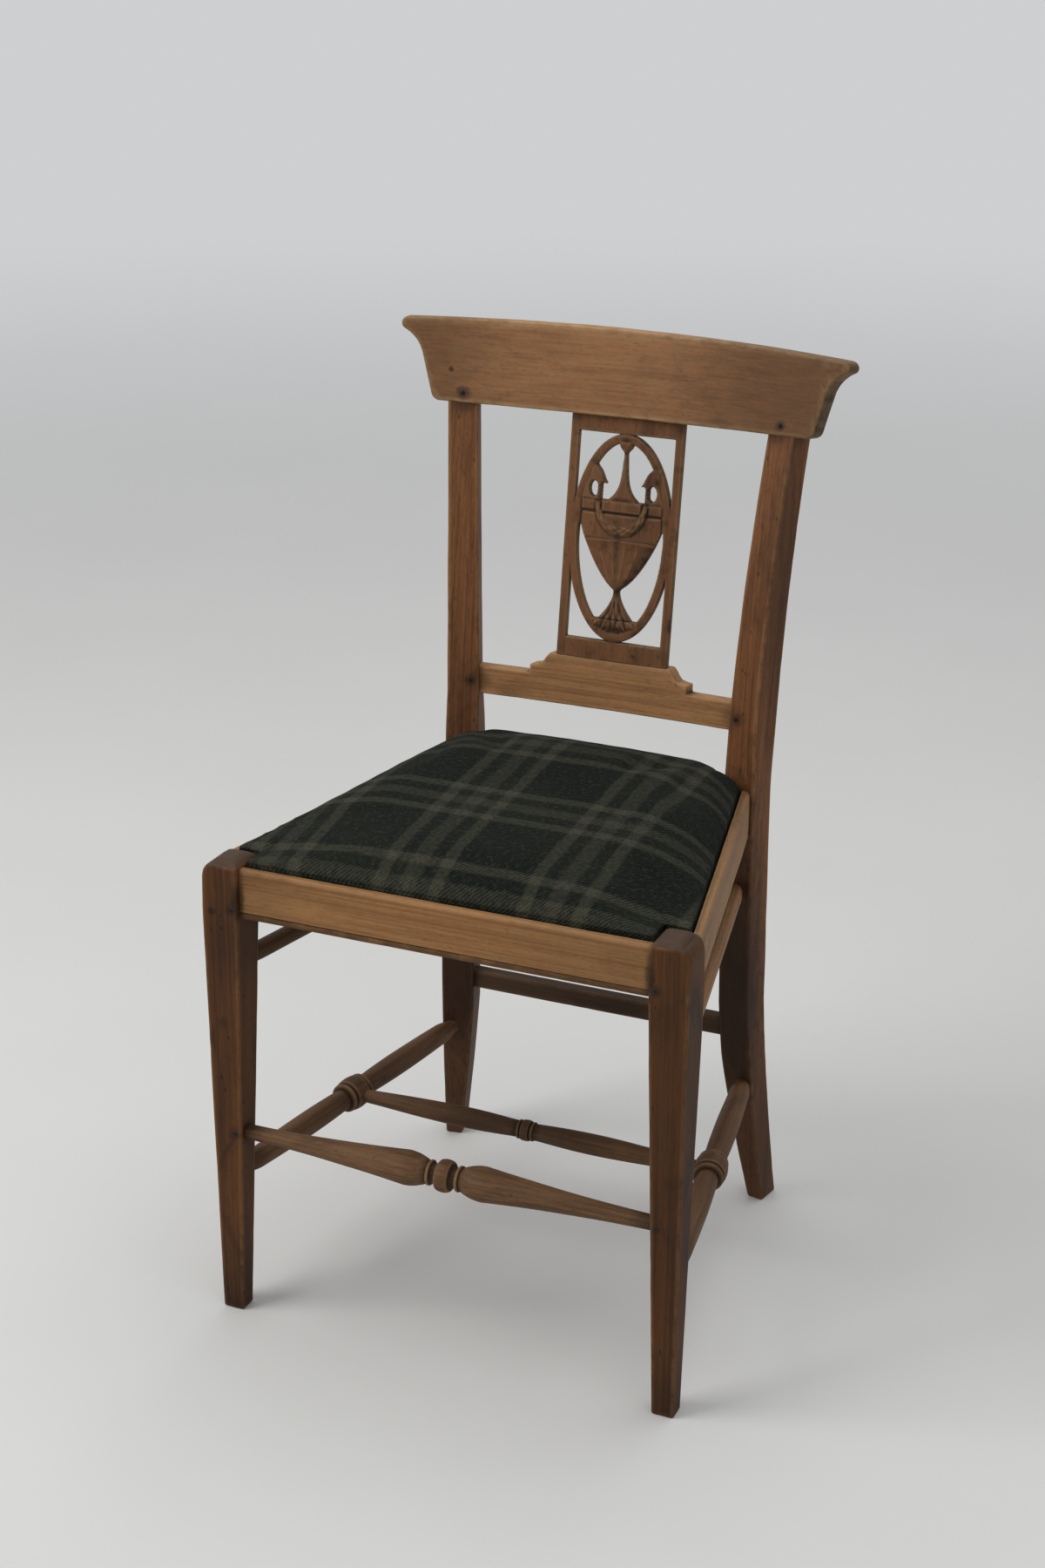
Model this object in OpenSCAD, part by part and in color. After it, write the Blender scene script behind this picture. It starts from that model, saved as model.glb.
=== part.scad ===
// Dining side chair with a concave crest, a pierced urn splat, turned stretchers
// and a lift-out upholstered seat. Millimetres, +Z up. The front faces -Y.
// The origin is on the floor under the middle of the chair's overall box.

/* [Overall] */
// Width over the front legs
front_w = 458; // [440:1:480]
// Width over the rear posts at the seat
rear_w = 320; // [308:1:334]
// Height of the seat rails' top edge
seat_h = 450; // [435:1:470]
// From the front legs' front face to the rear posts' outer front corner
seat_d = 361; // [345:1:380]
// Lean of the back from upright, in degrees
rake = 8.6; // [7.8:0.1:9.4]
// Clearance on each side of a tenon or peg
fit = 0.1; // [0.05:0.05:0.2]

/* [Front legs] */
// Width of a front leg at the seat rails
leg_w = 36; // [33:1:40]
// Depth of a front leg at the seat rails
leg_d = 40; // [37:1:44]
// Width of the foot
foot_w = 21; // [18:1:26]
// Depth of the foot
foot_d = 19; // [17:1:26]
// How far the foot stands in from the leg's outer face
foot_in = 4; // [2:1:6]
// Height of the leg's top above the rails
leg_rise = 2; // [1:0.5:4]
// Rounding of the leg's top edges
leg_round = 6; // [3:1:8]

/* [Rear posts] */
// Turn of each post towards the middle, in degrees
toe = 11; // [9:0.5:13]
// Width of a post at the seat
post_w = 33; // [31:1:35]
// Depth of a post at the seat
post_d = 34; // [32:1:37]
// Width of a post under the crest
post_top_w = 28; // [26:1:30]
// Depth of a post under the crest
post_top_d = 27; // [25:1:30]
// How far a post's front face has moved back at the crest
post_lean = 41; // [39:1:43]
// Share of that lean that comes from the curve
post_bow = 0.45; // [0.35:0.05:0.55]
// How far a post has moved outward at the crest
post_spread = 4; // [2:1:6]
// Width of a rear foot
rear_foot_w = 17; // [15:1:22]
// Depth of a rear foot
rear_foot_d = 27; // [24:1:31]
// How far a rear foot is swept back
foot_sweep = 35; // [26:1:40]
// How far a rear foot is splayed outward
foot_splay = 10; // [6:1:12]

/* [Seat rails] */
// Height of the seat rails
rail_h = 47; // [43:1:52]
// Thickness of the front rail
front_rail_t = 24; // [22:1:26]
// Thickness of the side rails
side_rail_t = 22; // [20:1:24]
// Thickness of the rear rail
rear_rail_t = 22; // [20:1:24]
// Set-back of the front rail from the legs' front faces
rail_set = 5; // [3:1:7]
// Set-back of the side rails from the legs' and posts' outer corners
side_set = 4; // [3:1:6]
// Lip left beside the seat's rebate
lip = 8; // [7:1:9]
// Depth of the seat's rebate
rebate = 15; // [12:1:17]
// Rounding of the rails' outer top edge
rail_round = 4; // [2:0.5:5]
// Height of the scratched bead line above the rails' lower edge
bead_z = 5; // [4:0.5:8]
// Width of the bead line
bead_w = 1.4; // [1:0.2:2]

/* [Joints] */
// Thickness of the tenons
tenon_t = 8; // [7:1:9]
// Length of the front rail's tenons
front_tenon = 18; // [14:1:20]
// Length of the side and rear rails' tenons
rail_tenon = 12; // [10:1:13]
// Diameter of the stretchers' round ends
socket_d = 14; // [12:0.5:15]
// Depth of the stretchers' sockets
socket_l = 14; // [12:1:15]
// Diameter of the wooden pegs
peg_d = 7; // [6:0.5:8]
// Length of the wooden pegs
peg_l = 15; // [13:1:16]
// How far a peg stands proud of the wood
peg_proud = 0.4; // [0.2:0.1:0.8]

/* [Stretchers] */
// Height of the front stretcher's axis
front_str_z = 184.5; // [175:0.5:200]
// Height of the side stretchers' axes
side_str_z = 138; // [125:1:150]
// Height of the upper stretchers' axes
upper_str_z = 347; // [330:1:360]
// Height of the rear stretcher's middle
rear_str_z = 196; // [180:1:230]
// Largest diameter of the front stretcher's vases
vase_d = 32; // [28:1:34]
// Diameter of the front stretcher's middle ring
ring_d = 30; // [27:1:33]
// Diameter of the side stretchers' shafts
side_str_d = 23; // [21:1:25]
// Diameter of the side stretchers' middle bulbs
bulb_d = 32; // [30:1:35]
// Diameter of the cross stretcher's swellings
cross_d = 20; // [18:1:22]
// Diameter of the cross stretcher's ends
cross_end_d = 13; // [12:1:14]
// Diameter of the upper stretchers
upper_str_d = 17; // [16:1:19]
// Height of the rear stretcher
rear_str_h = 19; // [16:1:24]
// Thickness of the rear stretcher
rear_str_t = 14; // [12:1:15]

/* [Back] */
// Distance of the crest's lower edge above the seat, along the back
crest_base = 336; // [325:1:345]
// Height of the crest
crest_h = 78; // [76:1:84]
// Thickness of the crest in the middle
crest_t = 22; // [20:1:24]
// Thickness of the crest at its horns
crest_end_t = 17; // [15:1:19]
// Radius of the back's concave curve
back_r = 950; // [880:10:1100]
// Half the crest's length at its lower corners
crest_half = 188; // [184:1:194]
// Radius of the coves under the crest's horns
cove_r = 40; // [36:1:42]
// Rounding of the crest's lower corners
crest_round = 9; // [6:1:12]
// Height of the mid rail's lower edge above the seat, along the back
mid_base = 54; // [50:1:60]
// Height of the mid rail at the posts
mid_h = 27.5; // [25:0.5:30]
// Thickness of the mid rail
mid_t = 20; // [18:1:22]
// Height of the plinth's top above the mid rail's lower edge
plinth_h = 49; // [46:1:54]
// Half the plinth's length at its foot
plinth_half = 84; // [80:1:90]

/* [Splat] */
// Width of the splat
splat_w = 112; // [106:1:120]
// Thickness of the splat
splat_t = 6; // [5.5:0.5:8]
// Width of the splat's side members
stile_w = 6.5; // [6:0.5:8]
// Height of the splat's top member
head_w = 17; // [15:0.5:20]
// Height of the splat's bottom member
sill_w = 18.5; // [16:0.5:21]
// Width of the oval's band
oval_w = 7.5; // [7:0.5:9]
// Height of the carved relief above the splat's face
relief = 2.2; // [1.5:0.1:2.6]

/* [Seat] */
// Gap round the seat in its rebate
seat_gap = 2; // [1.6:0.1:2.4]
// Thickness of the cover cloth
cloth_t = 1.4; // [1:0.1:2]
// Width of the seat frame's members
frame_w = 45; // [38:1:50]
// Thickness of the webbing
web_t = 1.2; // [1:0.1:1.6]
// Width of a webbing strap
strap_w = 50; // [42:1:54]
// Height of the padding's crown above its edge, in the middle
crown = 31; // [24:1:34]
// How much higher the padding is towards the back
crown_lift = 9; // [0:1:11]
// Height of the padding's upright edge
pad_edge = 1.5; // [1:0.5:3]

/* [Hidden] */
$fn = 48;
SIDES = [-1, 1];
eps = 0.01;
far = 1000;

// Heights and half widths
rail_z = seat_h - rail_h;
ledge_z = seat_h - rebate;
leg_x = front_w / 2;
leg_in = leg_x - leg_w;
post_x = rear_w / 2;

// The side rails run from the legs' backs to the posts' fronts
rail_x0 = leg_x - side_set;
rail_x1 = post_x - side_set;
rail_y1 = seat_d + side_set * tan(toe);
rail_angle = atan((rail_x0 - rail_x1) / (rail_y1 - leg_d));

// The posts' inner front corners
corner_x = post_x - post_w * cos(toe);
corner_y = seat_d + post_w * sin(toe);

// The back leans in its own frame: x across, y through it, z up along it
back_y = seat_d + 7.5;
crest_front = -4;
mid_front = 3;
splat_front = 4.5;
crest_z = seat_h + crest_base * cos(rake);
overall_d = peg_proud + back_y + (crest_front + crest_t) * cos(rake) + (crest_base + crest_h) * sin(rake);

// Rear rail and the seat's hollow in plan
rear_rail_y = corner_y + 1;
rear_ledge = 10;
seat_back_y = rear_rail_y + rear_ledge;

// Colours of the three woods and the cloths
fruitwood = [0.55, 0.38, 0.24];
dark_wood = [0.42, 0.26, 0.16];
pale_wood = [0.60, 0.45, 0.31];
plaid = [0.09, 0.11, 0.09];

function arc(c, r, a0, a1, n) = [for (i = [0 : n]) c + r * [cos(a0 + (a1 - a0) * i / n), sin(a0 + (a1 - a0) * i / n)]];
function mirrored(points) = [for (i = [len(points) - 1 : -1 : 0]) [-points[i].x, points[i].y]];
function ellipse_points(a, b, n = 72) = [for (i = [0 : n - 1]) [a * cos(360 * i / n), b * sin(360 * i / n)]];

module placed() {
    translate([0, peg_proud - overall_d / 2, 0]) children();
}

module side(s) {
    mirror([s < 0 ? 1 : 0, 0, 0]) children();
}

// A profile drawn in y and z, carried along x
module along_x(x0, x1) {
    translate([x0, 0, 0]) rotate([90, 0, 90]) linear_extrude(x1 - x0) children();
}

// A profile drawn in x and z, carried along y
module along_y(y0, y1) {
    translate([0, y1, 0]) rotate([90, 0, 0]) linear_extrude(y1 - y0) children();
}

// A straight cylinder from one point to another
module rod(p, q, d) {
    v = q - p;
    translate(p) rotate([0, acos(v.z / norm(v)), atan2(v.y, v.x)]) cylinder(h = norm(v), d = d);
}

// The frame that leans with the back
module back_frame() {
    translate([0, back_y, seat_h]) rotate([-rake, 0, 0]) children();
}

// The frame of the right post: x outward, y back, from its outer front corner
module post_frame() {
    translate([post_x, seat_d, 0]) rotate([0, 0, -toe]) children();
}

// Front legs: straight at the rails, tapered below on all four sides
module leg_block() {
    front_outline = concat(
        [[leg_x - foot_in - foot_w, 0], [leg_x - foot_in, 0], [leg_x, rail_z]],
        arc([leg_x - leg_round, seat_h + leg_rise - leg_round], leg_round, 0, 90, 6),
        arc([leg_in + leg_round, seat_h + leg_rise - leg_round], leg_round, 90, 180, 6),
        [[leg_in, rail_z]]
    );
    side_outline = concat(
        [[foot_in / 2 + foot_d, 0], [leg_d, rail_z]],
        arc([leg_d - leg_round, seat_h + leg_rise - leg_round], leg_round, 0, 90, 6),
        arc([leg_round, seat_h + leg_rise - leg_round], leg_round, 90, 180, 6),
        [[0, rail_z], [foot_in / 2, 0]]
    );
    intersection() {
        along_y(-1, leg_d + 1) polygon(front_outline);
        along_x(leg_in - 1, leg_x + 1) polygon(side_outline);
    }
}

// Where a leg's middle lies at a height, and its inner and back faces
function leg_share(z) = min(1, z / rail_z);
function leg_mid_x(z) = leg_x - foot_in * (1 - leg_share(z)) - (foot_w + (leg_w - foot_w) * leg_share(z)) / 2;
function leg_mid_y(z) = foot_in / 2 * (1 - leg_share(z)) + (foot_d + (leg_d - foot_d) * leg_share(z)) / 2;
function leg_inner_x(z) = leg_mid_x(z) - (foot_w + (leg_w - foot_w) * leg_share(z)) / 2;
function leg_back_y(z) = leg_mid_y(z) + (foot_d + (leg_d - foot_d) * leg_share(z)) / 2;

module front_leg(s) {
    placed() side(s) difference() {
        leg_block();
        front_tenons(fit);
        side_tenons(fit);
        front_stretcher_end(fit);
        side_stretcher_axis(fit);
        upper_stretcher_axis(fit);
        front_pegs(fit);
        stretcher_pegs(fit);
    }
}

module front_leg_left() { color(dark_wood) front_leg(-1); }
module front_leg_right() { color(dark_wood) front_leg(1); }

// Rear posts: one piece from the foot to the crest, curved in both views
sabre_z = 230;
taper_z = 170;
sabre_in = 4;
function up(z) = max(0, (z - seat_h) / (crest_z - seat_h));
function low(z, top) = max(0, (top - z) / top);
function post_front(z) =
    z >= seat_h ? post_lean * ((1 - post_bow) * up(z) + post_bow * up(z) * up(z))
    : -sabre_in * min(1, max(0, rail_z - z) / (rail_z - sabre_z)) + foot_sweep * pow(low(z, sabre_z), 1.35);
function post_depth(z) =
    z >= seat_h ? post_d - (post_d - post_top_d) * up(z) * up(z)
    : post_d - (post_d - rear_foot_d) * low(z, sabre_z);
function post_outer(z) = z >= seat_h ? post_spread * up(z) * up(z) : foot_splay * low(z, rail_z);
function post_width(z) =
    z >= seat_h ? post_top_w + (post_w - post_top_w) * pow(max(0, 1 - up(z)), 2)
    : post_w - (post_w - rear_foot_w) * pow(low(z, taper_z), 1.2);

post_top = crest_z + 20;
low_levels = [for (i = [0 : 11]) sabre_z * i / 12];
high_levels = [for (i = [0 : 12]) seat_h + (post_top - seat_h) * i / 12];
levels = concat(low_levels, [sabre_z, rail_z], high_levels);
levels_down = [for (i = [len(levels) - 1 : -1 : 0]) levels[i]];

// The right post's solid in its own frame, cut under the crest
module post_block() {
    difference() {
        post_frame() intersection() {
            along_x(-post_w - 20, foot_splay + 20) polygon(concat(
                [for (z = levels_down) [post_front(z), z]],
                [for (z = levels) [post_front(z) + post_depth(z), z]]
            ));
            along_y(-20, post_d + post_lean + foot_sweep + 20) polygon(concat(
                [for (z = levels_down) [post_outer(z) - post_width(z), z]],
                [for (z = levels) [post_outer(z), z]]
            ));
        }
        back_frame() translate([0, -far / 2, crest_base]) cube(far);
    }
}

module rear_post(s) {
    placed() side(s) {
        difference() {
            post_block();
            side_tenons(fit);
            rear_tenons(fit);
            mid_tenons(fit);
            rear_stretcher_tenons(fit);
            side_stretcher_axis(fit);
            upper_stretcher_axis(fit);
            mid_pegs(fit);
        }
        difference() {
            crest_tenons(0);
            crest_peg_holes(fit);
        }
    }
}

module rear_post_left() { color(dark_wood) rear_post(-1); }
module rear_post_right() { color(dark_wood) rear_post(1); }

// Seat rails. The x of a line set in from the side rail's outer face, and its rear end
function line_x(off, y) = rail_x0 - off / cos(rail_angle) - (y - leg_d) * tan(rail_angle);
function line_end_y(off, ahead) =
    (seat_d - ahead / cos(toe) + (post_x - line_x(off, 0)) * tan(toe)) / (1 - tan(rail_angle) * tan(toe));
function line_end(off, ahead = 0) = [line_x(off, line_end_y(off, ahead)), line_end_y(off, ahead)];

// Profile of a rail with its outer face at 0: bead line, rounded top edge and rebate
function rail_profile(t) = concat(
    [[t, rail_z], [0, rail_z], [0, rail_z + bead_z]],
    [[bead_w / 2, rail_z + bead_z + bead_w / 2], [0, rail_z + bead_z + bead_w]],
    arc([rail_round, seat_h - rail_round], rail_round, 180, 90, 6),
    [[lip, seat_h], [lip, ledge_z], [t, ledge_z]]
);

tenon_z = rail_z + 6;
tenon_h = ledge_z - 4 - tenon_z;

module front_tenons(c) {
    y = rail_set + tenon_t;
    for (s = SIDES)
        side(s) translate([leg_in - 1, y - c, tenon_z - c])
            cube([front_tenon + 1 + c, tenon_t + 2 * c, tenon_h + 2 * c]);
}

module front_rail() {
    color(pale_wood) placed() difference() {
        union() {
            translate([0, rail_set, 0]) along_x(-leg_in, leg_in) polygon(rail_profile(front_rail_t));
            front_tenons(0);
        }
        front_pegs(fit);
        side(-1) front_pegs(fit);
    }
}

// Tenons of the right side rail, at both its ends
module side_tenons(c) {
    off = (side_rail_t - tenon_t) / 2;
    intersection() {
        translate([rail_x0, leg_d, tenon_z - c]) rotate([0, 0, rail_angle])
            translate([-off - tenon_t - c, -40, 0]) cube([tenon_t + 2 * c, far, tenon_h + 2 * c]);
        union() {
            translate([0, leg_d - rail_tenon - c, 0]) cube([far, rail_tenon + 1 + c, far]);
            post_frame() translate([-far / 2, -1, 0]) cube([far, rail_tenon + 1 + c, far]);
        }
    }
}

module side_rail(s) {
    plan = [[line_x(0, leg_d), leg_d], line_end(0), line_end(side_rail_t), [line_x(side_rail_t, leg_d), leg_d]];
    placed() side(s) {
        intersection() {
            linear_extrude(far) polygon(plan);
            translate([rail_x0, leg_d, 0]) rotate([0, 0, rail_angle]) mirror([1, 0, 0])
                along_y(-50, far) polygon(rail_profile(side_rail_t));
        }
        side_tenons(0);
    }
}

module side_rail_left() { color(fruitwood) side_rail(-1); }
module side_rail_right() { color(fruitwood) side_rail(1); }

// The x of a post's inner face in the rails' height
function inner_x(y) = corner_x + (y - corner_y) * tan(toe);

module rear_tenons(c) {
    y = rear_rail_y + rear_rail_t - tenon_t - 1;
    for (s = SIDES)
        side(s) translate([inner_x(y) - 2, y - c, tenon_z - c])
            cube([rail_tenon + 2 + c, tenon_t + 2 * c, tenon_h + 2 * c]);
}

module rear_rail() {
    y0 = rear_rail_y;
    y1 = rear_rail_y + rear_rail_t;
    color(fruitwood) placed() {
        intersection() {
            linear_extrude(far) polygon([[-inner_x(y0), y0], [inner_x(y0), y0], [inner_x(y1), y1], [-inner_x(y1), y1]]);
            along_x(-post_x, post_x) polygon([
                [y0, rail_z], [y1, rail_z], [y1, seat_h], [y0 + rear_ledge, seat_h],
                [y0 + rear_ledge, ledge_z], [y0, ledge_z]
            ]);
        }
        rear_tenons(0);
    }
}

// Turned stretchers. Each profile is drawn as radius against length from the middle
function smooth(t) = t * t * (3 - 2 * t);
function bump(x, c, w) = abs(x - c) >= w ? 0 : sqrt(1 - pow((x - c) / w, 2));

// Front stretcher: ring, two necks, two long vases that taper to the legs
ring_half = 7;
neck_half = 16;
belly = 38;
neck_d = 20;
function vase_r(x) =
    x < belly ? neck_d / 2 + (vase_d - neck_d) / 2 * sin(90 * (x - neck_half) / (belly - neck_half))
    : socket_d / 2 + (vase_d - socket_d) / 2 * pow(max(0, 1 - (x - belly) / (leg_inner_x(front_str_z) - belly)), 1.7);
front_half = concat(
    [for (i = [0 : 4]) [ring_half * i / 4, ring_d / 2 - 2 * (1 - bump(ring_half * i / 4, 0, ring_half + 2))]],
    [[ring_half, neck_d / 2 + 1], [ring_half + 2, neck_d / 2 - 0.5], [neck_half - 3, neck_d / 2 - 0.5]],
    [[neck_half - 3, neck_d / 2 + 1.5], [neck_half, neck_d / 2 + 1.5]],
    [for (i = [0 : 18]) let (x = neck_half + (leg_inner_x(front_str_z) - neck_half) * pow(i / 18, 1.3)) [x, vase_r(x)]]
);

module turned(half, end) {
    outline = concat([[0, 0]], [for (p = half) [p.y, p.x]], [[half[len(half) - 1].y, end], [0, end]]);
    for (s = [0, 1]) mirror([0, 0, s]) rotate_extrude() polygon(outline);
}

front_str_y = leg_mid_y(front_str_z);

module front_stretcher_end(c) {
    translate([leg_inner_x(front_str_z) - 5, front_str_y, front_str_z]) rotate([0, 90, 0])
        cylinder(h = 5 + socket_l + c, d = socket_d + 2 * c);
}

module front_stretcher() {
    color(pale_wood) placed() difference() {
        translate([0, front_str_y, front_str_z]) rotate([0, 90, 0])
            turned(front_half, leg_inner_x(front_str_z) + socket_l);
        stretcher_pegs(fit);
        side(-1) stretcher_pegs(fit);
    }
}

// Side stretchers: from the back of a front leg to the front of a rear post
side_p = [leg_mid_x(side_str_z), leg_back_y(side_str_z), side_str_z];
post_entry = 10;
function on_post(z, inward) = [
    post_x + (post_outer(z) - inward) * cos(toe) + post_front(z) * sin(toe),
    seat_d - (post_outer(z) - inward) * sin(toe) + post_front(z) * cos(toe), z
];
side_q = on_post(side_str_z, post_entry);
side_v = (side_q - side_p) / norm(side_q - side_p);

// A round bar's ends, reaching into both its sockets
module bar_ends(p, q, c) {
    v = (q - p) / norm(q - p);
    rod(p - v * (socket_l + c), p + v * 12, socket_d + 2 * c);
    rod(q - v * 12, q + v * (socket_l + c), socket_d + 2 * c);
}

module side_stretcher_axis(c) {
    bar_ends(side_p, side_q, c);
}

bulb_half = 17;
side_half_l = norm(side_q - side_p) / 2;
cross_y = (side_p.y + side_q.y) / 2;
cross_x = (side_p.x + side_q.x) / 2;
side_half = concat(
    [for (i = [0 : 5]) let (x = 9 * i / 5) [x, bulb_d / 2 * bump(x, 0, 26)]],
    [[9, bulb_d / 2 - 3.2], [11, bulb_d / 2 - 3.8]],
    [for (i = [0 : 4]) let (x = 11 + 4 * i / 4) [x, bulb_d / 2 - 2.8 + 1.4 * bump(x, 13, 2.4)]],
    [[15.5, side_str_d / 2 - 1], [bulb_half, side_str_d / 2 - 1.4]],
    [for (i = [0 : 10]) let (t = i / 10)
        [bulb_half + (side_half_l - 22 - bulb_half) * t, side_str_d / 2 - 1.4 + 1.4 * sin(180 * pow(t, 0.8))]],
    [for (i = [1 : 5]) let (t = i / 5)
        [side_half_l - 22 + 20 * t, side_str_d / 2 - 1.4 - (side_str_d / 2 - 1.4 - socket_d / 2) * smooth(t)]]
);

// Puts a shape drawn along z, with its middle at 0, between two points
module between(p, q) {
    v = q - p;
    translate((p + q) / 2) rotate([0, acos(v.z / norm(v)), atan2(v.y, v.x)]) children();
}

module cross_sockets(c) {
    for (s = SIDES) side(s) rod([cross_x - bulb_d / 2 - 2, cross_y, side_str_z], [cross_x - 4 + c, cross_y, side_str_z], cross_end_d + 2 * c);
}

module side_stretcher(s) {
    placed() side(s) difference() {
        between(side_p, side_q) turned(side_half, side_half_l + socket_l);
        cross_sockets(fit);
    }
}

module side_stretcher_left() { color(pale_wood) side_stretcher(-1); }
module side_stretcher_right() { color(pale_wood) side_stretcher(1); }

// Cross stretcher: small rings in the middle, a long swelling on each side
cross_half_l = cross_x - 4;
cross_thin_d = 16;
cross_half = concat(
    [for (i = [0 : 4]) let (x = 4 * i / 4) [x, cross_d / 2 + 0.6 * bump(x, 0, 4.2) - 0.4]],
    [[4, cross_thin_d / 2 - 0.4], [5.5, cross_thin_d / 2 - 0.4]],
    [for (i = [0 : 3]) let (x = 5.5 + 3 * i / 3) [x, cross_thin_d / 2 + 1.3 * bump(x, 7, 1.8)]],
    [for (i = [0 : 14]) let (t = i / 14)
        [9 + (cross_x - bulb_d / 2 - 11) * t, cross_thin_d / 2 - (cross_thin_d - cross_end_d) / 2 * smooth(t)
            + (cross_d - cross_thin_d + 1.2) / 2 * pow(sin(180 * pow(t, 0.85)), 1.3)]]
);

module cross_stretcher() {
    color(pale_wood) placed() translate([0, cross_y, side_str_z]) rotate([0, 90, 0])
        turned(cross_half, cross_half_l);
}

// Upper stretchers: plain round bars close under the side rails
upper_p = [leg_mid_x(upper_str_z), leg_back_y(upper_str_z), upper_str_z];
upper_q = on_post(upper_str_z, post_w / 2);

module upper_stretcher_axis(c) {
    bar_ends(upper_p, upper_q, c);
}

upper_half_l = norm(upper_q - upper_p) / 2;
upper_half = concat(
    [[0, upper_str_d / 2]],
    [for (i = [0 : 5]) let (t = i / 5)
        [upper_half_l - 24 + 22 * t, upper_str_d / 2 - (upper_str_d - socket_d) / 2 * smooth(t)]]
);

module upper_stretcher(s) {
    placed() side(s) between(upper_p, upper_q) turned(upper_half, upper_half_l + socket_l);
}

module upper_stretcher_left() { color(fruitwood) upper_stretcher(-1); }
module upper_stretcher_right() { color(fruitwood) upper_stretcher(1); }

// Rear stretcher: a flat bar between the posts
rear_str_y = on_post(rear_str_z, post_w / 2).y + 8;
rear_shoulder = 3;

module rear_stretcher_tenons(c) {
    x = on_post(rear_str_z, post_width(rear_str_z)).x;
    for (s = SIDES)
        side(s) translate([x - 6, rear_str_y + rear_shoulder - c, rear_str_z - rear_str_h / 2 + rear_shoulder - c])
            cube([6 + rail_tenon + c, rear_str_t - 2 * rear_shoulder + 2 * c, rear_str_h - 2 * rear_shoulder + 2 * c]);
}

module rear_stretcher() {
    color(fruitwood) placed() {
        difference() {
            translate([-post_x + 8, rear_str_y, rear_str_z - rear_str_h / 2]) cube([rear_w - 16, rear_str_t, rear_str_h]);
            for (s = SIDES) side(s) post_block();
        }
        rear_stretcher_tenons(0);
    }
}

// Mid rail: curved in plan, with a stepped and moulded plinth for the splat
ogee_run = 20;
plinth_rise = 10;
plinth_top_half = plinth_half - 6 - ogee_run;

module curved_band(front, t, end_t, half_l) {
    bend = 1 / back_r + 2 * (t - end_t) / (half_l * half_l);
    difference() {
        translate([0, front + t - 1 / bend, 0]) cylinder(h = far, r = 1 / bend, $fn = 360);
        translate([0, front - back_r, -1]) cylinder(h = far + 2, r = back_r, $fn = 360);
    }
}

module mid_outline() {
    end = post_x;
    foot = mid_base + plinth_h - plinth_rise;
    half = concat(
        [[end, mid_base], [end, mid_base + mid_h], [plinth_half, mid_base + mid_h], [plinth_half, foot - 1.5]],
        [for (i = [0 : 10]) [plinth_half - 5 - ogee_run * i / 10, foot + plinth_rise * (1 - cos(18 * i)) / 2]]
    );
    polygon(concat(half, mirrored(half)));
}

module mid_tenons(c) {
    for (s = SIDES) side(s) back_frame() intersection() {
        translate([0, 6.5 - c, mid_base + 5 - c]) curved_tenon(tenon_t + 2 * c, mid_h - 10 + 2 * c);
        translate([corner_x - 2, -50, 0]) cube([14 + c, 100, far]);
    }
}

module curved_tenon(t, h) {
    rotate([0, 0, -asin(corner_x / back_r)]) translate([0, 2, 0]) cube([far, t, h]);
}

module mid_rail() {
    color(pale_wood) placed() difference() {
        union() {
            difference() {
                back_frame() intersection() {
                    curved_band(mid_front, mid_t, mid_t, post_x);
                    along_y(-100, 100) mid_outline();
                }
                for (s = SIDES) side(s) post_block();
                for (s = SIDES) side(s) post_frame() translate([-post_w / 2, -50, 0]) cube(far);
            }
            mid_tenons(0);
        }
        mid_pegs(fit);
        side(-1) mid_pegs(fit);
        splat_tenons(fit);
    }
}

// Crest rail: concave to the front, with cove-flared horns and rounded lower corners
side_lean = 16.5;
corner_c = [crest_half - crest_round, crest_round];
cove_start = corner_c + crest_round * [cos(side_lean), -sin(side_lean)] + 38 * [sin(side_lean), cos(side_lean)];
cove_c = cove_start + cove_r * [cos(side_lean), -sin(side_lean)];
cove_stop = 119;
cove_end = cove_c + cove_r * [cos(cove_stop), sin(cove_stop)];
nose_r = (crest_h - cove_end.y) / (1 + sin(cove_stop));
nose_c = cove_end + nose_r * [cos(cove_stop), sin(cove_stop)];
crest_reach = nose_c.x + nose_r;

module crest_outline() {
    half = concat(
        arc(corner_c, crest_round, -90, -side_lean, 8),
        arc(cove_c, cove_r, 180 - side_lean, cove_stop, 10),
        arc(nose_c, nose_r, cove_stop - 180, 90, 10)
    );
    polygon(concat(half, mirrored(half)));
}

// Where the posts' tops meet the crest
top_lx = post_outer(crest_z) - post_top_w / 2;
top_x = post_x + top_lx * cos(toe) + post_front(crest_z) * sin(toe);
top_y = (crest_front + crest_t / 2) - top_x * top_x / (2 * back_r);
crest_tenon_w = 18;
crest_tenon_h = 26;

module crest_tenons(c) {
    back_frame() translate([top_x, top_y, crest_base - (c > 0 ? 1 : 0)]) rotate([0, 0, -asin(top_x / back_r)])
        translate([-crest_tenon_w / 2 - c, -tenon_t / 2 - c, 0])
            cube([crest_tenon_w + 2 * c, tenon_t + 2 * c, crest_tenon_h + c + (c > 0 ? 1 : 0)]);
}

crest_peg_z = 8;
module crest_peg_holes(c) {
    back_frame() translate([top_x, top_y, crest_base + crest_peg_z]) rotate([0, 0, -asin(top_x / back_r)])
        rotate([-90, 0, 0]) translate([0, 0, -30]) cylinder(h = 30 + tenon_t / 2 + c, d = peg_d + 2 * c);
}

module crest_rail() {
    color(pale_wood) placed() difference() {
        back_frame() intersection() {
            curved_band(crest_front, crest_t, crest_end_t, crest_reach);
            translate([0, 0, crest_base]) along_y(-150, 100) crest_outline();
        }
        for (s = SIDES) side(s) crest_tenons(fit);
        for (s = SIDES) side(s) crest_peg_holes(fit);
        splat_tenons(fit);
    }
}

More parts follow.
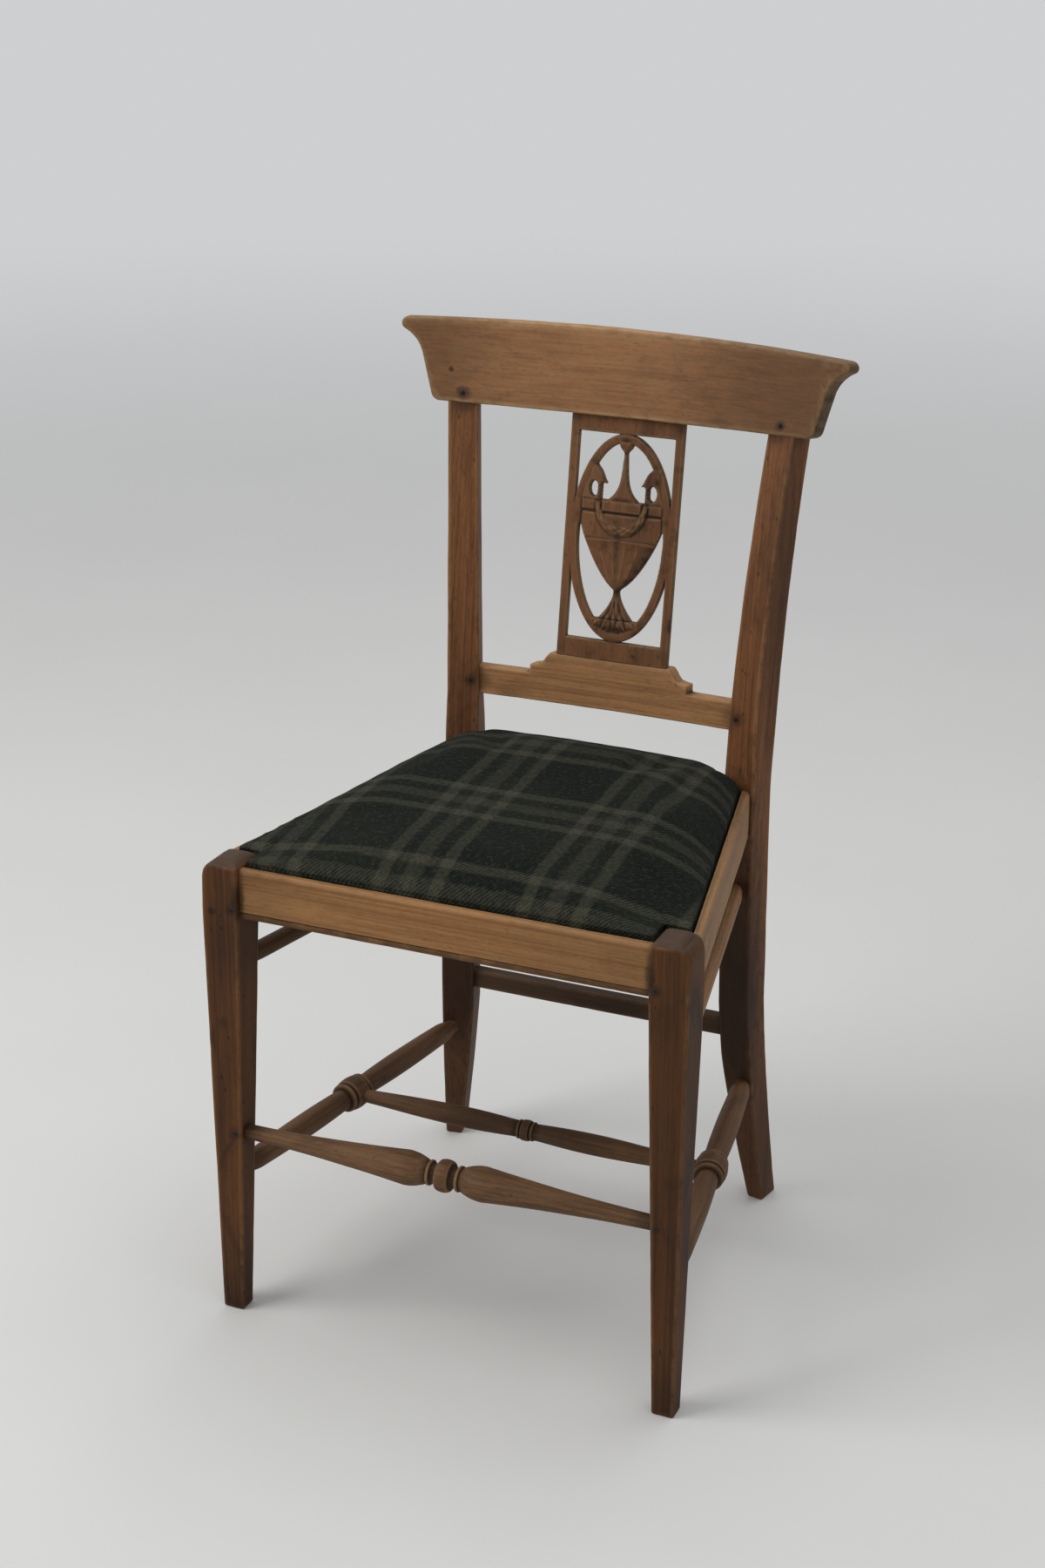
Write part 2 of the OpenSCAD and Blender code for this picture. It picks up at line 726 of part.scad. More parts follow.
// Splat: a pierced frame and oval round a carved urn
splat_base = mid_base + plinth_h;
splat_h = crest_base - splat_base;
oval_b = (splat_h - head_w - sill_w) / 2 + 0.6;
oval_a = splat_w / 2 - stile_w + 2;
oval_z = (sill_w + splat_h - head_w) / 2;
inner_a = oval_a - oval_w;
inner_b = oval_b - oval_w;
shoulder_z = oval_z + 10.5;
rim_z = oval_z + 24.5;
lid_z = rim_z + 11.5;
spire_z = lid_z + 46;
body_h = 60;
body_a = inner_a - 6;
neck_z = shoulder_z - body_h;
foot_z = neck_z - 2;
foot_h = 26;
line_z = shoulder_z - 13.5;
rim_a = 20;
string_x = 22;
function body_x(t) = max(1.8, body_a * pow(max(0, 1 - pow(t, 1.2)), 0.75));
function spire_x(t) = 0.8 + 14.5 * pow(t, 4.2);
function flare_x(t) = 1.8 + 15 * pow(t, 2.1);

module half_shape(points) {
    polygon(concat(points, mirrored(points)));
}

module oval(grow) {
    polygon([for (p = ellipse_points(inner_a + grow, inner_b + grow)) p + [0, oval_z]]);
}

module urn_body() {
    half_shape([for (i = [14 : -1 : 0]) [body_x(i / 14), shoulder_z + eps - body_h * i / 14]]);
}

module urn_shoulder() {
    intersection() {
        oval(1);
        translate([-splat_w / 2, shoulder_z]) square([splat_w, lid_z - shoulder_z]);
    }
}

module urn_foot() {
    half_shape([for (i = [0 : 10]) [flare_x(1 - i / 10), foot_z - foot_h * (1 - i / 10)]]);
    translate([-1.8, foot_z - 1]) square([3.6, neck_z - foot_z + 2]);
    intersection() {
        oval(1);
        translate([-splat_w / 2, sill_w]) square([splat_w, foot_z - foot_h + eps - sill_w]);
    }
}

module urn_spire() {
    half_shape([for (i = [0 : 16]) [spire_x(1 - i / 16), lid_z - eps + (spire_z - lid_z) * i / 16]]);
}

// Drop at the oval's top, down to the spire's point
module pendant() {
    half_shape([[0.9, spire_z - 2], [2.8, spire_z + 3.5], [6.3, spire_z + 10], [7.5, oval_z + inner_b + 1]]);
}

// Handle: a leaf that curls over an eye like a beak, with a string of beads below its tip
eye = [28.7, lid_z + 9.6];
module handle_shape() {
    difference() {
        polygon([
            [31, eye.y + 27], [27.5, eye.y + 24], [24.5, eye.y + 20], [21, eye.y + 15.6], [18.9, eye.y + 10.4],
            [17.2, eye.y + 6.4], [20.2, eye.y + 8], [string_x, eye.y + 6.5], [string_x, lid_z - 1], [inner_a - 0.6, lid_z - 1],
            [41, eye.y + 2], [37, eye.y + 15]
        ]);
        translate(eye) polygon(ellipse_points(5.3, 7, 36));
    }
    for (i = [0 : 4]) translate([string_x, lid_z + 0.5 + 3.6 * i]) circle(r = 2, $fn = 20);
}

module splat_shape() {
    difference() {
        translate([-splat_w / 2, 0]) square([splat_w, splat_h]);
        translate([-splat_w / 2 + stile_w, sill_w]) square([splat_w - 2 * stile_w, splat_h - head_w - sill_w]);
    }
    difference() {
        polygon([for (p = ellipse_points(oval_a, oval_b)) p + [0, oval_z]]);
        oval(0);
    }
    urn_body();
    urn_shoulder();
    urn_foot();
    urn_spire();
    pendant();
    for (m = [0, 1]) mirror([m, 0]) handle_shape();
}

// Relief carved on the urn: fluted bowl, bead line, drum, rim, lid, swag and foot leaves
flute_r = 2;
swag_drop = lid_z - shoulder_z + 3;
swag_n = 8;
module urn_relief() {
    translate([0, splat_front, 0]) {
        difference() {
            along_y(-relief, 1) intersection() {
                half_shape([for (i = [14 : -1 : 0]) [max(0.6, body_x(i / 14) - 1.2), shoulder_z - body_h * i / 14]]);
                translate([-splat_w / 2, neck_z + 4]) square([splat_w, line_z - neck_z - 5.5]);
            }
            for (a = [-27 : 9 : 27])
                translate([0, -relief - 0.7, neck_z - 18]) rotate([0, a, 0]) translate([0, 0, 26]) cylinder(h = 40, r = flute_r, $fn = 24);
        }
        for (s = [0, 1]) mirror([s, 0, 0]) rod([0, -0.4, line_z], [body_x(0.225) - 1.5, -0.4, line_z], 3.4);
        along_y(-relief, 1) half_shape([[32, line_z + 2.2], [34.5, shoulder_z], [35, rim_z - 1.2]]);
        along_y(-relief - 0.8, 1) half_shape([[rim_a, rim_z], [rim_a, lid_z - 1.5], [rim_a - 1.5, lid_z]]);
        for (s = [0, 1]) mirror([s, 0, 0]) along_y(-relief, 1)
            translate([string_x + 2.6, rim_z]) square([inner_a - string_x - 6, lid_z - rim_z - 1]);
        along_y(-relief * 0.7, 1) half_shape([for (i = [0 : 12]) [max(0.4, spire_x(1 - i / 12) - 1), lid_z + (spire_z - lid_z) * i / 12]]);
        for (i = [-swag_n : swag_n])
            translate([string_x * sin(90 * i / swag_n), -1.4, lid_z - 2 - swag_drop * cos(90 * i / swag_n)]) sphere(r = 2.5, $fn = 24);
        for (a = [-44, 0, 44]) translate([0, 0, foot_z - foot_h - 6]) rotate([0, a, 0]) along_y(-relief * 0.7, 1)
            translate([0, 8]) polygon(ellipse_points(2.6, 6.5, 24));
    }
}

splat_tenon_h = 10;
splat_tenon_in = 1;
module splat_tenons(c) {
    back_frame() for (z = [splat_base - splat_tenon_h - c, crest_base - 1])
        translate([-splat_w / 2 + 12 - c, splat_front + splat_tenon_in - c, z])
            cube([splat_w - 24 + 2 * c, splat_t - 2 * splat_tenon_in + 2 * c, splat_tenon_h + 1 + c]);
}

module splat() {
    color(fruitwood) placed() {
        back_frame() translate([0, 0, splat_base]) {
            translate([0, splat_front, 0]) along_y(0, splat_t) splat_shape();
            urn_relief();
        }
        splat_tenons(0);
    }
}

// Wooden pegs through the joints
front_peg = [leg_in + 6, rail_z + 9];
stretcher_peg = [leg_inner_x(front_str_z) + 6, front_str_z + 3];
module front_pegs(c) {
    translate([front_peg.x, -1, front_peg.y]) rotate([-90, 0, 0]) cylinder(h = 1 + peg_l + c, d = peg_d + 2 * c);
}

module stretcher_pegs(c) {
    translate([stretcher_peg.x, -1, stretcher_peg.y]) rotate([-90, 0, 0]) cylinder(h = 1 + peg_l + c, d = peg_d + 2 * c);
}

mid_peg_z = seat_h + (mid_base + mid_h / 2) * cos(rake);
mid_peg_in = post_width(mid_peg_z) - 7;
module mid_pegs(c) {
    post_frame() translate([post_outer(mid_peg_z) - mid_peg_in, -1, mid_peg_z]) rotate([-90, 0, 0])
        cylinder(h = 1 + post_front(mid_peg_z) + peg_l + c, d = peg_d + 2 * c);
}

module front_rail_pegs() {
    color(dark_wood) placed() for (s = SIDES) side(s)
        translate([front_peg.x, -peg_proud, front_peg.y]) rotate([-90, 0, 0]) cylinder(h = peg_l + peg_proud, d = peg_d);
}

module front_stretcher_pegs() {
    y = foot_in / 2 * (1 - leg_share(stretcher_peg.y));
    color(dark_wood) placed() for (s = SIDES) side(s)
        translate([stretcher_peg.x, y - peg_proud, stretcher_peg.y]) rotate([-90, 0, 0])
            cylinder(h = peg_l + peg_proud - y, d = peg_d);
}

module mid_rail_pegs() {
    color(dark_wood) placed() for (s = SIDES) side(s) post_frame()
        translate([post_outer(mid_peg_z) - mid_peg_in, post_front(mid_peg_z) - peg_proud, mid_peg_z]) rotate([-90, 0, 0])
            cylinder(h = peg_l + peg_proud, d = peg_d);
}

module crest_pegs() {
    front = crest_front - top_x * top_x / (2 * back_r) - top_y;
    color(dark_wood) placed() for (s = SIDES) side(s) back_frame()
        translate([top_x, top_y, crest_base + crest_peg_z]) rotate([0, 0, -asin(top_x / back_r)]) rotate([-90, 0, 0])
            translate([0, 0, front - peg_proud]) cylinder(h = tenon_t / 2 - front + peg_proud, d = peg_d);
}

// The lift-out seat in plan, a gap g inside the rebate's walls, legs and posts
function seat_half(g) = let (
    x0 = leg_in - g,
    y0 = leg_d + g,
    xn = corner_x - g,
    off = lip + g,
    yn = seat_d - g / cos(toe) + (post_x - xn) * tan(toe)
) [
    [x0, rail_set + lip + g], [x0, y0], [line_x(off, y0), y0], line_end(off, g), [xn, yn], [xn, seat_back_y - g]
];
function seat_plan(g) = concat(seat_half(g), mirrored(seat_half(g)));

rest_gap = 0.05;
foot_of_seat = ledge_z + rest_gap;
frame_gap = seat_gap + cloth_t;
frame_z = foot_of_seat + cloth_t;
frame_top = seat_h;
hessian_t = 0.8;
pad_z = frame_top + 2 * web_t + hessian_t;

module seat_bands(inset) {
    for (s = SIDES) side(s) linear_extrude(far) polygon([
        [line_x(0, -50), -50], [line_x(0, 500), 500], [line_x(inset, 500), 500], [line_x(inset, -50), -50]
    ]);
}

module seat_blank(z, t, g) {
    translate([0, 0, z]) linear_extrude(t) polygon(seat_plan(g));
}

module seat_frame_side(s) {
    color(fruitwood) placed() intersection() {
        seat_blank(frame_z, frame_top - frame_z, frame_gap);
        seat_bands(lip + frame_gap + frame_w);
        side(s) translate([0, -far / 2, 0]) cube(far);
    }
}

module seat_frame_end(y0) {
    color(fruitwood) placed() intersection() {
        difference() {
            seat_blank(frame_z, frame_top - frame_z, frame_gap);
            seat_bands(lip + frame_gap + frame_w);
        }
        translate([-far / 2, y0, 0]) cube([far, frame_w + 10, far]);
    }
}

module seat_frame_left() { seat_frame_side(-1); }
module seat_frame_right() { seat_frame_side(1); }
module seat_frame_front() { seat_frame_end(rail_set + lip + frame_gap - 10); }
module seat_frame_back() { seat_frame_end(seat_back_y - frame_gap - frame_w); }

// Webbing: three straps from front to back under three from side to side
web_in = 12;
module seat_webbing() {
    y0 = rail_set + lip + frame_gap + web_in;
    y1 = seat_back_y - frame_gap - web_in;
    color("tan") placed() {
        for (i = [-1 : 1]) translate([i * 88 - strap_w / 2, y0, frame_top]) cube([strap_w, y1 - y0, web_t]);
        for (i = [0 : 2]) {
            y = y0 + 40 + i * 96;
            x = line_x(lip + frame_gap + web_in, y + strap_w / 2);
            translate([-x, y - strap_w / 2, frame_top + web_t]) cube([2 * x, strap_w, web_t]);
        }
    }
}

module seat_hessian() {
    color("burlywood") placed() seat_blank(pad_z - hessian_t, hessian_t, frame_gap + 6);
}

// Padding: rings of the seat's plan drawn in towards the middle as they rise
seat_mid = [0, (rail_set + lip + seat_back_y) / 2];
function split(a, b) = let (n = max(2, round(norm(b - a) / 34))) [for (i = [0 : n - 1]) a + (b - a) * i / n];
function ring_plan(g) = let (p = seat_plan(g), n = len(p)) [for (i = [0 : n - 1]) each split(p[i], p[(i + 1) % n])];
function oval_at(d, a, b) = d / sqrt(pow(d.x / a, 2) + pow(d.y / b, 2));
function crown_share(r) = 1 - pow(r, 5.9);
function ring_at(plan, r, z, h = 0) = [for (p = plan)
    let (d = p - seat_mid, e = oval_at(d, leg_in, seat_mid.y - 10), q = seat_mid + r * (r * d + (1 - r) * e))
    [q.x, q.y, h == 0 ? z : z + crown_share(r) * (h + crown_lift * (q.y - seat_mid.y) / seat_mid.y)]
];
SHARES = [1, 0.985, 0.96, 0.925, 0.88, 0.82, 0.73, 0.6, 0.42, 0.2];
function dome_rings(g, base, h) = let (plan = ring_plan(g)) concat(
    [ring_at(plan, 1, base)],
    [for (r = SHARES) ring_at(plan, r, pad_z + pad_edge, h)]
);

module ring_solid(rings) {
    n = len(rings[0]);
    k = len(rings);
    points = concat([for (r = rings) each r], [[seat_mid.x, seat_mid.y, rings[0][0].z], [seat_mid.x, seat_mid.y, rings[k - 1][0].z + 0.4]]);
    walls = [for (j = [0 : k - 2], i = [0 : n - 1]) let (a = j * n + i, b = j * n + (i + 1) % n) each [[a, b + n, b], [a, a + n, b + n]]];
    floor_faces = [for (i = [0 : n - 1]) [n * k, i, (i + 1) % n]];
    cap_faces = [for (i = [0 : n - 1]) [n * k + 1, (k - 1) * n + (i + 1) % n, (k - 1) * n + i]];
    polyhedron(points, concat(walls, floor_faces, cap_faces), convexity = 4);
}

module seat_pad() {
    color("wheat") placed() ring_solid(dome_rings(frame_gap, pad_z, crown));
}

// Cover: cloth over the padding, down the frame's sides and turned under it
hem = 22;
module seat_cover() {
    color(plaid) placed() difference() {
        ring_solid(dome_rings(seat_gap, foot_of_seat, crown + cloth_t));
        ring_solid(dome_rings(frame_gap, frame_z, crown));
        seat_blank(foot_of_seat - 1, cloth_t + 2, seat_gap + hem);
    }
}

front_leg_left();
front_leg_right();
rear_post_left();
rear_post_right();
front_rail();
side_rail_left();
side_rail_right();
rear_rail();
front_stretcher();
side_stretcher_left();
side_stretcher_right();
cross_stretcher();
upper_stretcher_left();
upper_stretcher_right();
rear_stretcher();
mid_rail();
splat();
crest_rail();
crest_pegs();
mid_rail_pegs();
front_rail_pegs();
front_stretcher_pegs();
seat_frame_front();
seat_frame_back();
seat_frame_left();
seat_frame_right();
seat_webbing();
seat_hessian();
seat_pad();
seat_cover();
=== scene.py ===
import math

import bmesh
import bpy
import numpy as np
from mathutils import Matrix, Vector, noise


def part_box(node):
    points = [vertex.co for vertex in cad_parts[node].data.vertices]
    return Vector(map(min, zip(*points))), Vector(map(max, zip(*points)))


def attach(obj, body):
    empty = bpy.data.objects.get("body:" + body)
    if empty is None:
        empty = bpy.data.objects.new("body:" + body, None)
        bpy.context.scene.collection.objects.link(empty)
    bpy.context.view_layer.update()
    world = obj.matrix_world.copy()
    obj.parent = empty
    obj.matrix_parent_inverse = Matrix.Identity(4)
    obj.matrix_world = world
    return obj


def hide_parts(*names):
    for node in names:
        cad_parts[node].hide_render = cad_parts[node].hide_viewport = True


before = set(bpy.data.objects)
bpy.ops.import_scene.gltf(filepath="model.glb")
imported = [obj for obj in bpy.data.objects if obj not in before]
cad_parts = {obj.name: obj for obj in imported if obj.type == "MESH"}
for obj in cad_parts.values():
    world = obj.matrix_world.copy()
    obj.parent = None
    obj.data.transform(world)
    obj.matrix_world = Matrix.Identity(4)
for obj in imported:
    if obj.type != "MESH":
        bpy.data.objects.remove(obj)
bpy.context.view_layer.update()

# Front legs
# Two legs of reddish fruitwood, square where the rails enter and tapered below
# on all four sides. Their tops stand just above the rails and are worn round by
# hands and knees; the arrises have lost their sharpness, and old finish clings on.

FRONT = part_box("front_leg_left")[0].y  # the front faces of the legs, in metres
SEAT_H, RAIL_Z = 450.0, 403.0          # the rails' upper and lower edges, in mm
LEG_X, LEG_W, LEG_D = 229.0, 36.0, 40.0
FOOT_W, FOOT_D, FOOT_IN = 21.0, 19.0, 4.0
WORN_FOOT = ((0, 1.2), (0.5, 0.6), (1.6, 0), (5, 0))  # heights, and how far the edges are worn in
SIDES = ((-1, "left"), (1, "right"))


def smooth(t):
    """From 0 to 1, with a soft start and a soft end."""
    t = np.clip(t, 0.0, 1.0)
    return t * t * (3 - 2 * t)


def eased(corners, radii, arc=4, support=1.6, inner=3):
    """A closed outline with its corners eased to round ones, and points close beside each."""
    corners = np.asarray(corners, float)
    n = len(corners)
    radii = np.broadcast_to(np.asarray(radii, float), (n,))
    arcs = []
    for i in range(n):
        p, r = corners[i], radii[i]
        u = corners[i - 1] - p
        v = corners[(i + 1) % n] - p
        u, v = u / np.linalg.norm(u), v / np.linalg.norm(v)
        half = 0.5 * math.acos(float(np.clip(u @ v, -1, 1)))
        c = p + (u + v) / np.linalg.norm(u + v) * r / math.sin(half)
        a, b = p + u * r / math.tan(half) - c, p + v * r / math.tan(half) - c
        turn = math.pi - 2 * half
        arcs.append([c + (math.sin(turn * (1 - k / arc)) * a + math.sin(turn * k / arc) * b) / math.sin(turn)
                     for k in range(arc + 1)])
    points = []
    for i in range(n):
        a, b = arcs[i][-1], arcs[(i + 1) % n][0]
        length = np.linalg.norm(b - a)
        near = min(support, length / 3)
        stops = [near] + list(np.linspace(near, length - near, inner + 2)[1:-1]) + [length - near]
        points += arcs[i] + [a + (b - a) * s / length for s in stops]
    return np.array(points)


def skin(rings):
    """The surface over a row of outlines with equally many points, closed at both ends."""
    rings = [np.asarray(r, float) for r in rings]
    n, k = len(rings[0]), len(rings)
    ring, step = np.meshgrid(np.arange(k - 1), np.arange(n), indexing="ij")
    a = (ring * n + step).ravel()
    b = (ring * n + (step + 1) % n).ravel()
    faces = np.stack([a, b, b + n, a + n], 1).tolist()
    return np.concatenate(rings), faces + [list(range(n))[::-1], list(range(n * (k - 1), n * k))]


def edge_marks(mesh):
    """How much each point of a mesh is on a sharply rounded edge, where wear shows, and how much it is down
    in a recess.
    """
    n = len(mesh.vertices)
    co, no = np.empty(n * 3), np.empty(n * 3)
    mesh.vertices.foreach_get("co", co)
    mesh.vertices.foreach_get("normal", no)
    co, no = co.reshape(-1, 3), no.reshape(-1, 3)
    ends = np.empty(len(mesh.edges) * 2, int)
    mesh.edges.foreach_get("vertices", ends)
    a, b = ends[0::2], ends[1::2]
    way = co[b] - co[a]
    bend = ((no[b] - no[a]) * way).sum(1) / np.maximum((way * way).sum(1), 1e-12)
    out, into = np.zeros(n), np.zeros(n)
    for end in (a, b):
        np.maximum.at(out, end, bend)
        np.maximum.at(into, end, -bend)
    return smooth((out - 110) / 330), smooth((into - 60) / 420)


def meshed(name, places, faces):
    """A mesh from places in metres, with its faces turned outward."""
    mesh = bpy.data.meshes.new(name)
    mesh.from_pydata(places.tolist(), [], faces)
    solid = bmesh.new()
    solid.from_mesh(mesh)
    bmesh.ops.recalc_face_normals(solid, faces=solid.faces)
    solid.to_mesh(mesh)
    solid.free()
    return mesh


def into_scene(name, data):
    """An object with its mesh, lamp or lens, put into the scene."""
    made = bpy.data.objects.new(name, data)
    bpy.context.scene.collection.objects.link(made)
    return made


def keep(mesh, name, values):
    """Stores a number or a vector for each point of a mesh, for its material to read."""
    values = np.asarray(values, float)
    kind, field = ("FLOAT", "value") if values.ndim == 1 else ("FLOAT_VECTOR", "vector")
    mesh.attributes.new(name, kind, "POINT").data.foreach_set(field, values.ravel())


def wooden(name, points, faces, along, finish, stands_for, body="frame", seed=0,
           uneven=0.22, dents=0.35, crisp=38, soot_and_shade=0.0, rubbed_and_highlight=0.0):
    """A piece of wood from points in mm behind the legs' front faces, its grain running along a
    direction. Its faces are a little uneven and its edges dented. Two masks say where it is dirty or painted
    darker as shade, and where it is polished or painted paler as a highlight."""
    place = np.asarray(points, float) * 0.001 + (0, FRONT, 0)
    mesh = meshed(name, place, faces)
    worn, hollow = edge_marks(mesh)
    shift = Vector((3.1 * seed, 1.7 * seed, 0.9 * seed))
    normals = np.array([v.normal for v in mesh.vertices])
    waves = np.array([noise.noise(Vector(p) * 24 + shift) for p in place]) * uneven
    knocks = np.array([noise.noise(Vector(p) * 95 + shift) for p in place])
    knocks = np.maximum(0, knocks - 0.25) * dents * 2 * worn
    mesh.vertices.foreach_set("co", (place + normals * (waves - knocks)[:, None] * 0.001).ravel())
    e0 = Vector(along).normalized()
    e1 = (Vector((0, 0, 1)) if abs(e0.z) < 0.7 else Vector((1, 0, 0))).cross(e0).normalized()
    axes = np.array([e0, e1, e0.cross(e1)])
    keep(mesh, "grain", place @ axes.T + np.array([0.37, 0.71, 0.53]) * seed)
    keep(mesh, "place", np.asarray(points, float) * 0.001)
    # the edge mark also carries painted highlights, and the hollow mark painted shade, where a piece is given
    # them
    keep(mesh, "worn", np.maximum(worn * (1 - soot_and_shade), rubbed_and_highlight))
    keep(mesh, "end", smooth((np.abs(normals @ np.array(e0)) - 0.55) / 0.35))
    keep(mesh, "hollow", np.maximum(hollow, soot_and_shade))
    mesh.shade_smooth()
    mesh.set_sharp_from_angle(angle=math.radians(crisp))
    mesh.materials.append(finish)
    piece = into_scene(name, mesh)
    even = piece.modifiers.new("even_shading", "WEIGHTED_NORMAL")
    even.keep_sharp = True
    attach(piece, body)
    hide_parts(*stands_for)


def paint(r, g, b):
    """A colour as it looks, from 0 to 255, for a shader."""
    return tuple(((c / 255 + 0.055) / 1.055) ** 2.4 if c > 10 else c / 3295 for c in (r, g, b)) + (1.0,)


def darker(colour, share):
    """A share of a colour, for a shader."""
    return paint(*(share * c for c in colour))


def bare(stuff):
    """The emptied node tree of a material or a world."""
    stuff.use_nodes = True
    stuff.node_tree.nodes.clear()
    return stuff.node_tree


def put(tree, kind, setup=None, **inputs):
    """Adds a node. Inputs are named with _ for a space, or i and a number, and take a value or an output."""
    node = tree.nodes.new("ShaderNode" + kind)
    for key, value in (setup or {}).items():
        setattr(node, key, value)
    for key, value in inputs.items():
        socket = node.inputs[int(key[1:]) if key[0] == "i" and key[1:].isdigit() else key.replace("_", " ")]
        if isinstance(value, bpy.types.NodeSocket):
            tree.links.new(value, socket)
        else:
            socket.default_value = value
    return node


def blended(tree, share, a, b):
    """Two colours mixed by a share."""
    return put(tree, "Mix", {"data_type": "RGBA"}, i0=share, i6=a, i7=b).outputs[2]


def ramped(tree, value, low, high, to_low=0.0, to_high=1.0):
    """A value brought from one range to another, easing in and out."""
    return put(tree, "MapRange", {"interpolation_type": "SMOOTHSTEP"}, Value=value, From_Min=low,
               From_Max=high, To_Min=to_low, To_Max=to_high).outputs[0]


def sums(tree, how, a, b=0.0, c=0.0):
    """A sum of any kind with up to three numbers."""
    return put(tree, "Math", {"operation": how}, i0=a, i1=b, i2=c).outputs[0]


def scaled(tree, vector, scale):
    """A place with each of its three lengths scaled by itself."""
    return put(tree, "VectorMath", {"operation": "MULTIPLY"}, i0=vector, i1=scale).outputs[0]


def speckle(tree, vector, scale, detail=3.0, rough=0.55, bent=0.0):
    """Noise, from how many times it changes in a metre along, across and through the grain."""
    return put(tree, "TexNoise", Vector=scaled(tree, vector, scale), Scale=1.0, Detail=detail,
               Roughness=rough, Distortion=bent).outputs["Fac"]


def stored(tree, name, kind="Fac"):
    """What keep stored for each point, as a number or a vector."""
    return put(tree, "Attribute", {"attribute_name": name}).outputs[kind]


def surface(tree, colour, dull, relief, shine, **more):
    """The shader of a material, and its output."""
    shader = put(tree, "BsdfPrincipled", Base_Color=colour, Roughness=dull, Normal=relief,
                 Specular_IOR_Level=shine, **more)
    put(tree, "OutputMaterial", Surface=shader.outputs[0])


def wood_finish(name, pale, deep, edge, grime_and_shade=(40, 31, 22), lines=0.3, marks=0.0, patches=0.4,
                gloss=0.62, ends=None, stains_and_shade=(), spots=()):
    """Old wood with its finish mostly gone: grain lines, fibres and pores, edges paler with wear, dirt in
    recesses, and the painted shade and painted highlights a piece is given. Stains are places in mm with a
    reach, a strength and how many times taller than wide, on both sides of the chair, and spots on one side
    only; some of either are painted shade."""
    stuff = bpy.data.materials.new(name)
    tree = bare(stuff)
    grain, place = stored(tree, "grain", "Vector"), stored(tree, "place", "Vector")
    worn, hollow, end = stored(tree, "worn"), stored(tree, "hollow"), stored(tree, "end")
    streaks = speckle(tree, grain, (4, 230, 230), 5.0, 0.62, 0.3)
    broad = speckle(tree, grain, (5, 48, 48), 3.0, 0.5, 0.4)
    fibres = speckle(tree, grain, (38, 1250, 1250), 3.0)
    pores = speckle(tree, grain, (130, 2000, 2000), 1.0)
    cloud = speckle(tree, grain, (9, 20, 20), 3.0, 0.6, 0.8)
    mottle = speckle(tree, grain, (70, 140, 140), 4.0, 0.65)
    rings = put(tree, "TexWave", {"bands_direction": "Z"}, Vector=scaled(tree, grain, (3, 24, 110)),
                Scale=0.72, Distortion=2.6, Detail=3.0, Detail_Scale=0.7, Detail_Roughness=0.6).outputs["Fac"]
    tone = sums(tree, "MULTIPLY_ADD", ramped(tree, broad, 0.3, 0.7), 0.5, ramped(tree, streaks, 0.28, 0.72))
    tone = sums(tree, "MULTIPLY_ADD", rings, lines, tone)
    tone = sums(tree, "MULTIPLY_ADD", fibres, 0.7, tone)
    colour = blended(tree, ramped(tree, tone, 0.25, 1.65 + lines), paint(*deep), paint(*pale))
    stain = ramped(tree, cloud, 0.5, 0.75, 0.0, patches)
    colour = blended(tree, stain, colour, darker(deep, 0.68))
    redder = ramped(tree, mottle, 0.45, 0.75, 0.0, 0.32)
    colour = blended(tree, redder, colour, paint(deep[0] * 1.12, deep[1] * 0.9, deep[2] * 0.8))
    pits = ramped(tree, pores, 0.60, 0.70, 0.0, 0.4)
    colour = blended(tree, pits, colour, darker(deep, 0.5))
    if marks:
        holes = put(tree, "TexVoronoi", Vector=scaled(tree, grain, (75, 130, 130)), Scale=1.0, Randomness=1.0)
        pick = put(tree, "SeparateColor", i0=holes.outputs["Color"]).outputs[0]
        dot = ramped(tree, holes.outputs["Distance"], 0.22, 0.1)
        dot = sums(tree, "MULTIPLY", dot, ramped(tree, pick, 0.72, 0.8, 0.0, marks))
        colour = blended(tree, dot, colour, darker(deep, 0.35))
    end = sums(tree, "MULTIPLY", end, ramped(tree, mottle, 0.25, 0.7, 0.95, 0.7))
    colour = blended(tree, end, colour, paint(*ends) if ends else darker(deep, 0.55))
    # paler on edges with wear, and where a piece is given painted highlights
    rub_and_highlight = sums(tree, "MULTIPLY", worn, ramped(tree, mottle, 0.3, 0.65, 0.35, 1.0))
    colour = blended(tree, sums(tree, "MULTIPLY", rub_and_highlight, 0.75), colour, paint(*edge))
    # stains, some of them painted shade, take the colour toward a darker share of the deep one
    dark = None
    folded = put(tree, "VectorMath", {"operation": "ABSOLUTE"}, i0=place).outputs[0]
    uneven = sums(tree, "MULTIPLY_ADD", mottle, 1.2, 0.4)
    for at, group in ((folded, stains_and_shade), (place, spots)):
        for x, y, z, reach, strength, *tall in group:
            squat = 1 / tall[0] if tall else 1
            low = scaled(tree, at, (1, 1, squat)) if tall else at
            far = put(tree, "VectorMath", {"operation": "DISTANCE"}, i0=low,
                      i1=(x / 1000, y / 1000, z / 1000 * squat)).outputs["Value"]
            far = sums(tree, "MULTIPLY", far, uneven)
            near = ramped(tree, far, reach / 1000, reach / 4000, 0.0, strength)
            dark = near if dark is None else sums(tree, "MAXIMUM", dark, near)
    if dark is not None:
        colour = blended(tree, dark, colour, darker(deep, 0.32))
    # darker with dirt in hollows, and where a piece is given painted shade
    dirt_and_shade = sums(tree, "MULTIPLY", hollow, ramped(tree, mottle, 0.25, 0.6, 0.6, 1.0))
    colour = blended(tree, sums(tree, "MULTIPLY", dirt_and_shade, 0.9), colour, paint(*grime_and_shade))
    height = sums(tree, "MULTIPLY_ADD", fibres, 0.5, sums(tree, "MULTIPLY", streaks, 0.6))
    height = sums(tree, "MULTIPLY_ADD", pits, -0.8, height)
    relief = put(tree, "Bump", Strength=0.5, Distance=0.0004, Height=height).outputs[0]
    dull = sums(tree, "MULTIPLY_ADD", streaks, 0.16, sums(tree, "MULTIPLY_ADD", dirt_and_shade, 0.2, gloss - 0.08))
    surface(tree, colour, dull, relief, 0.2)
    return stuff
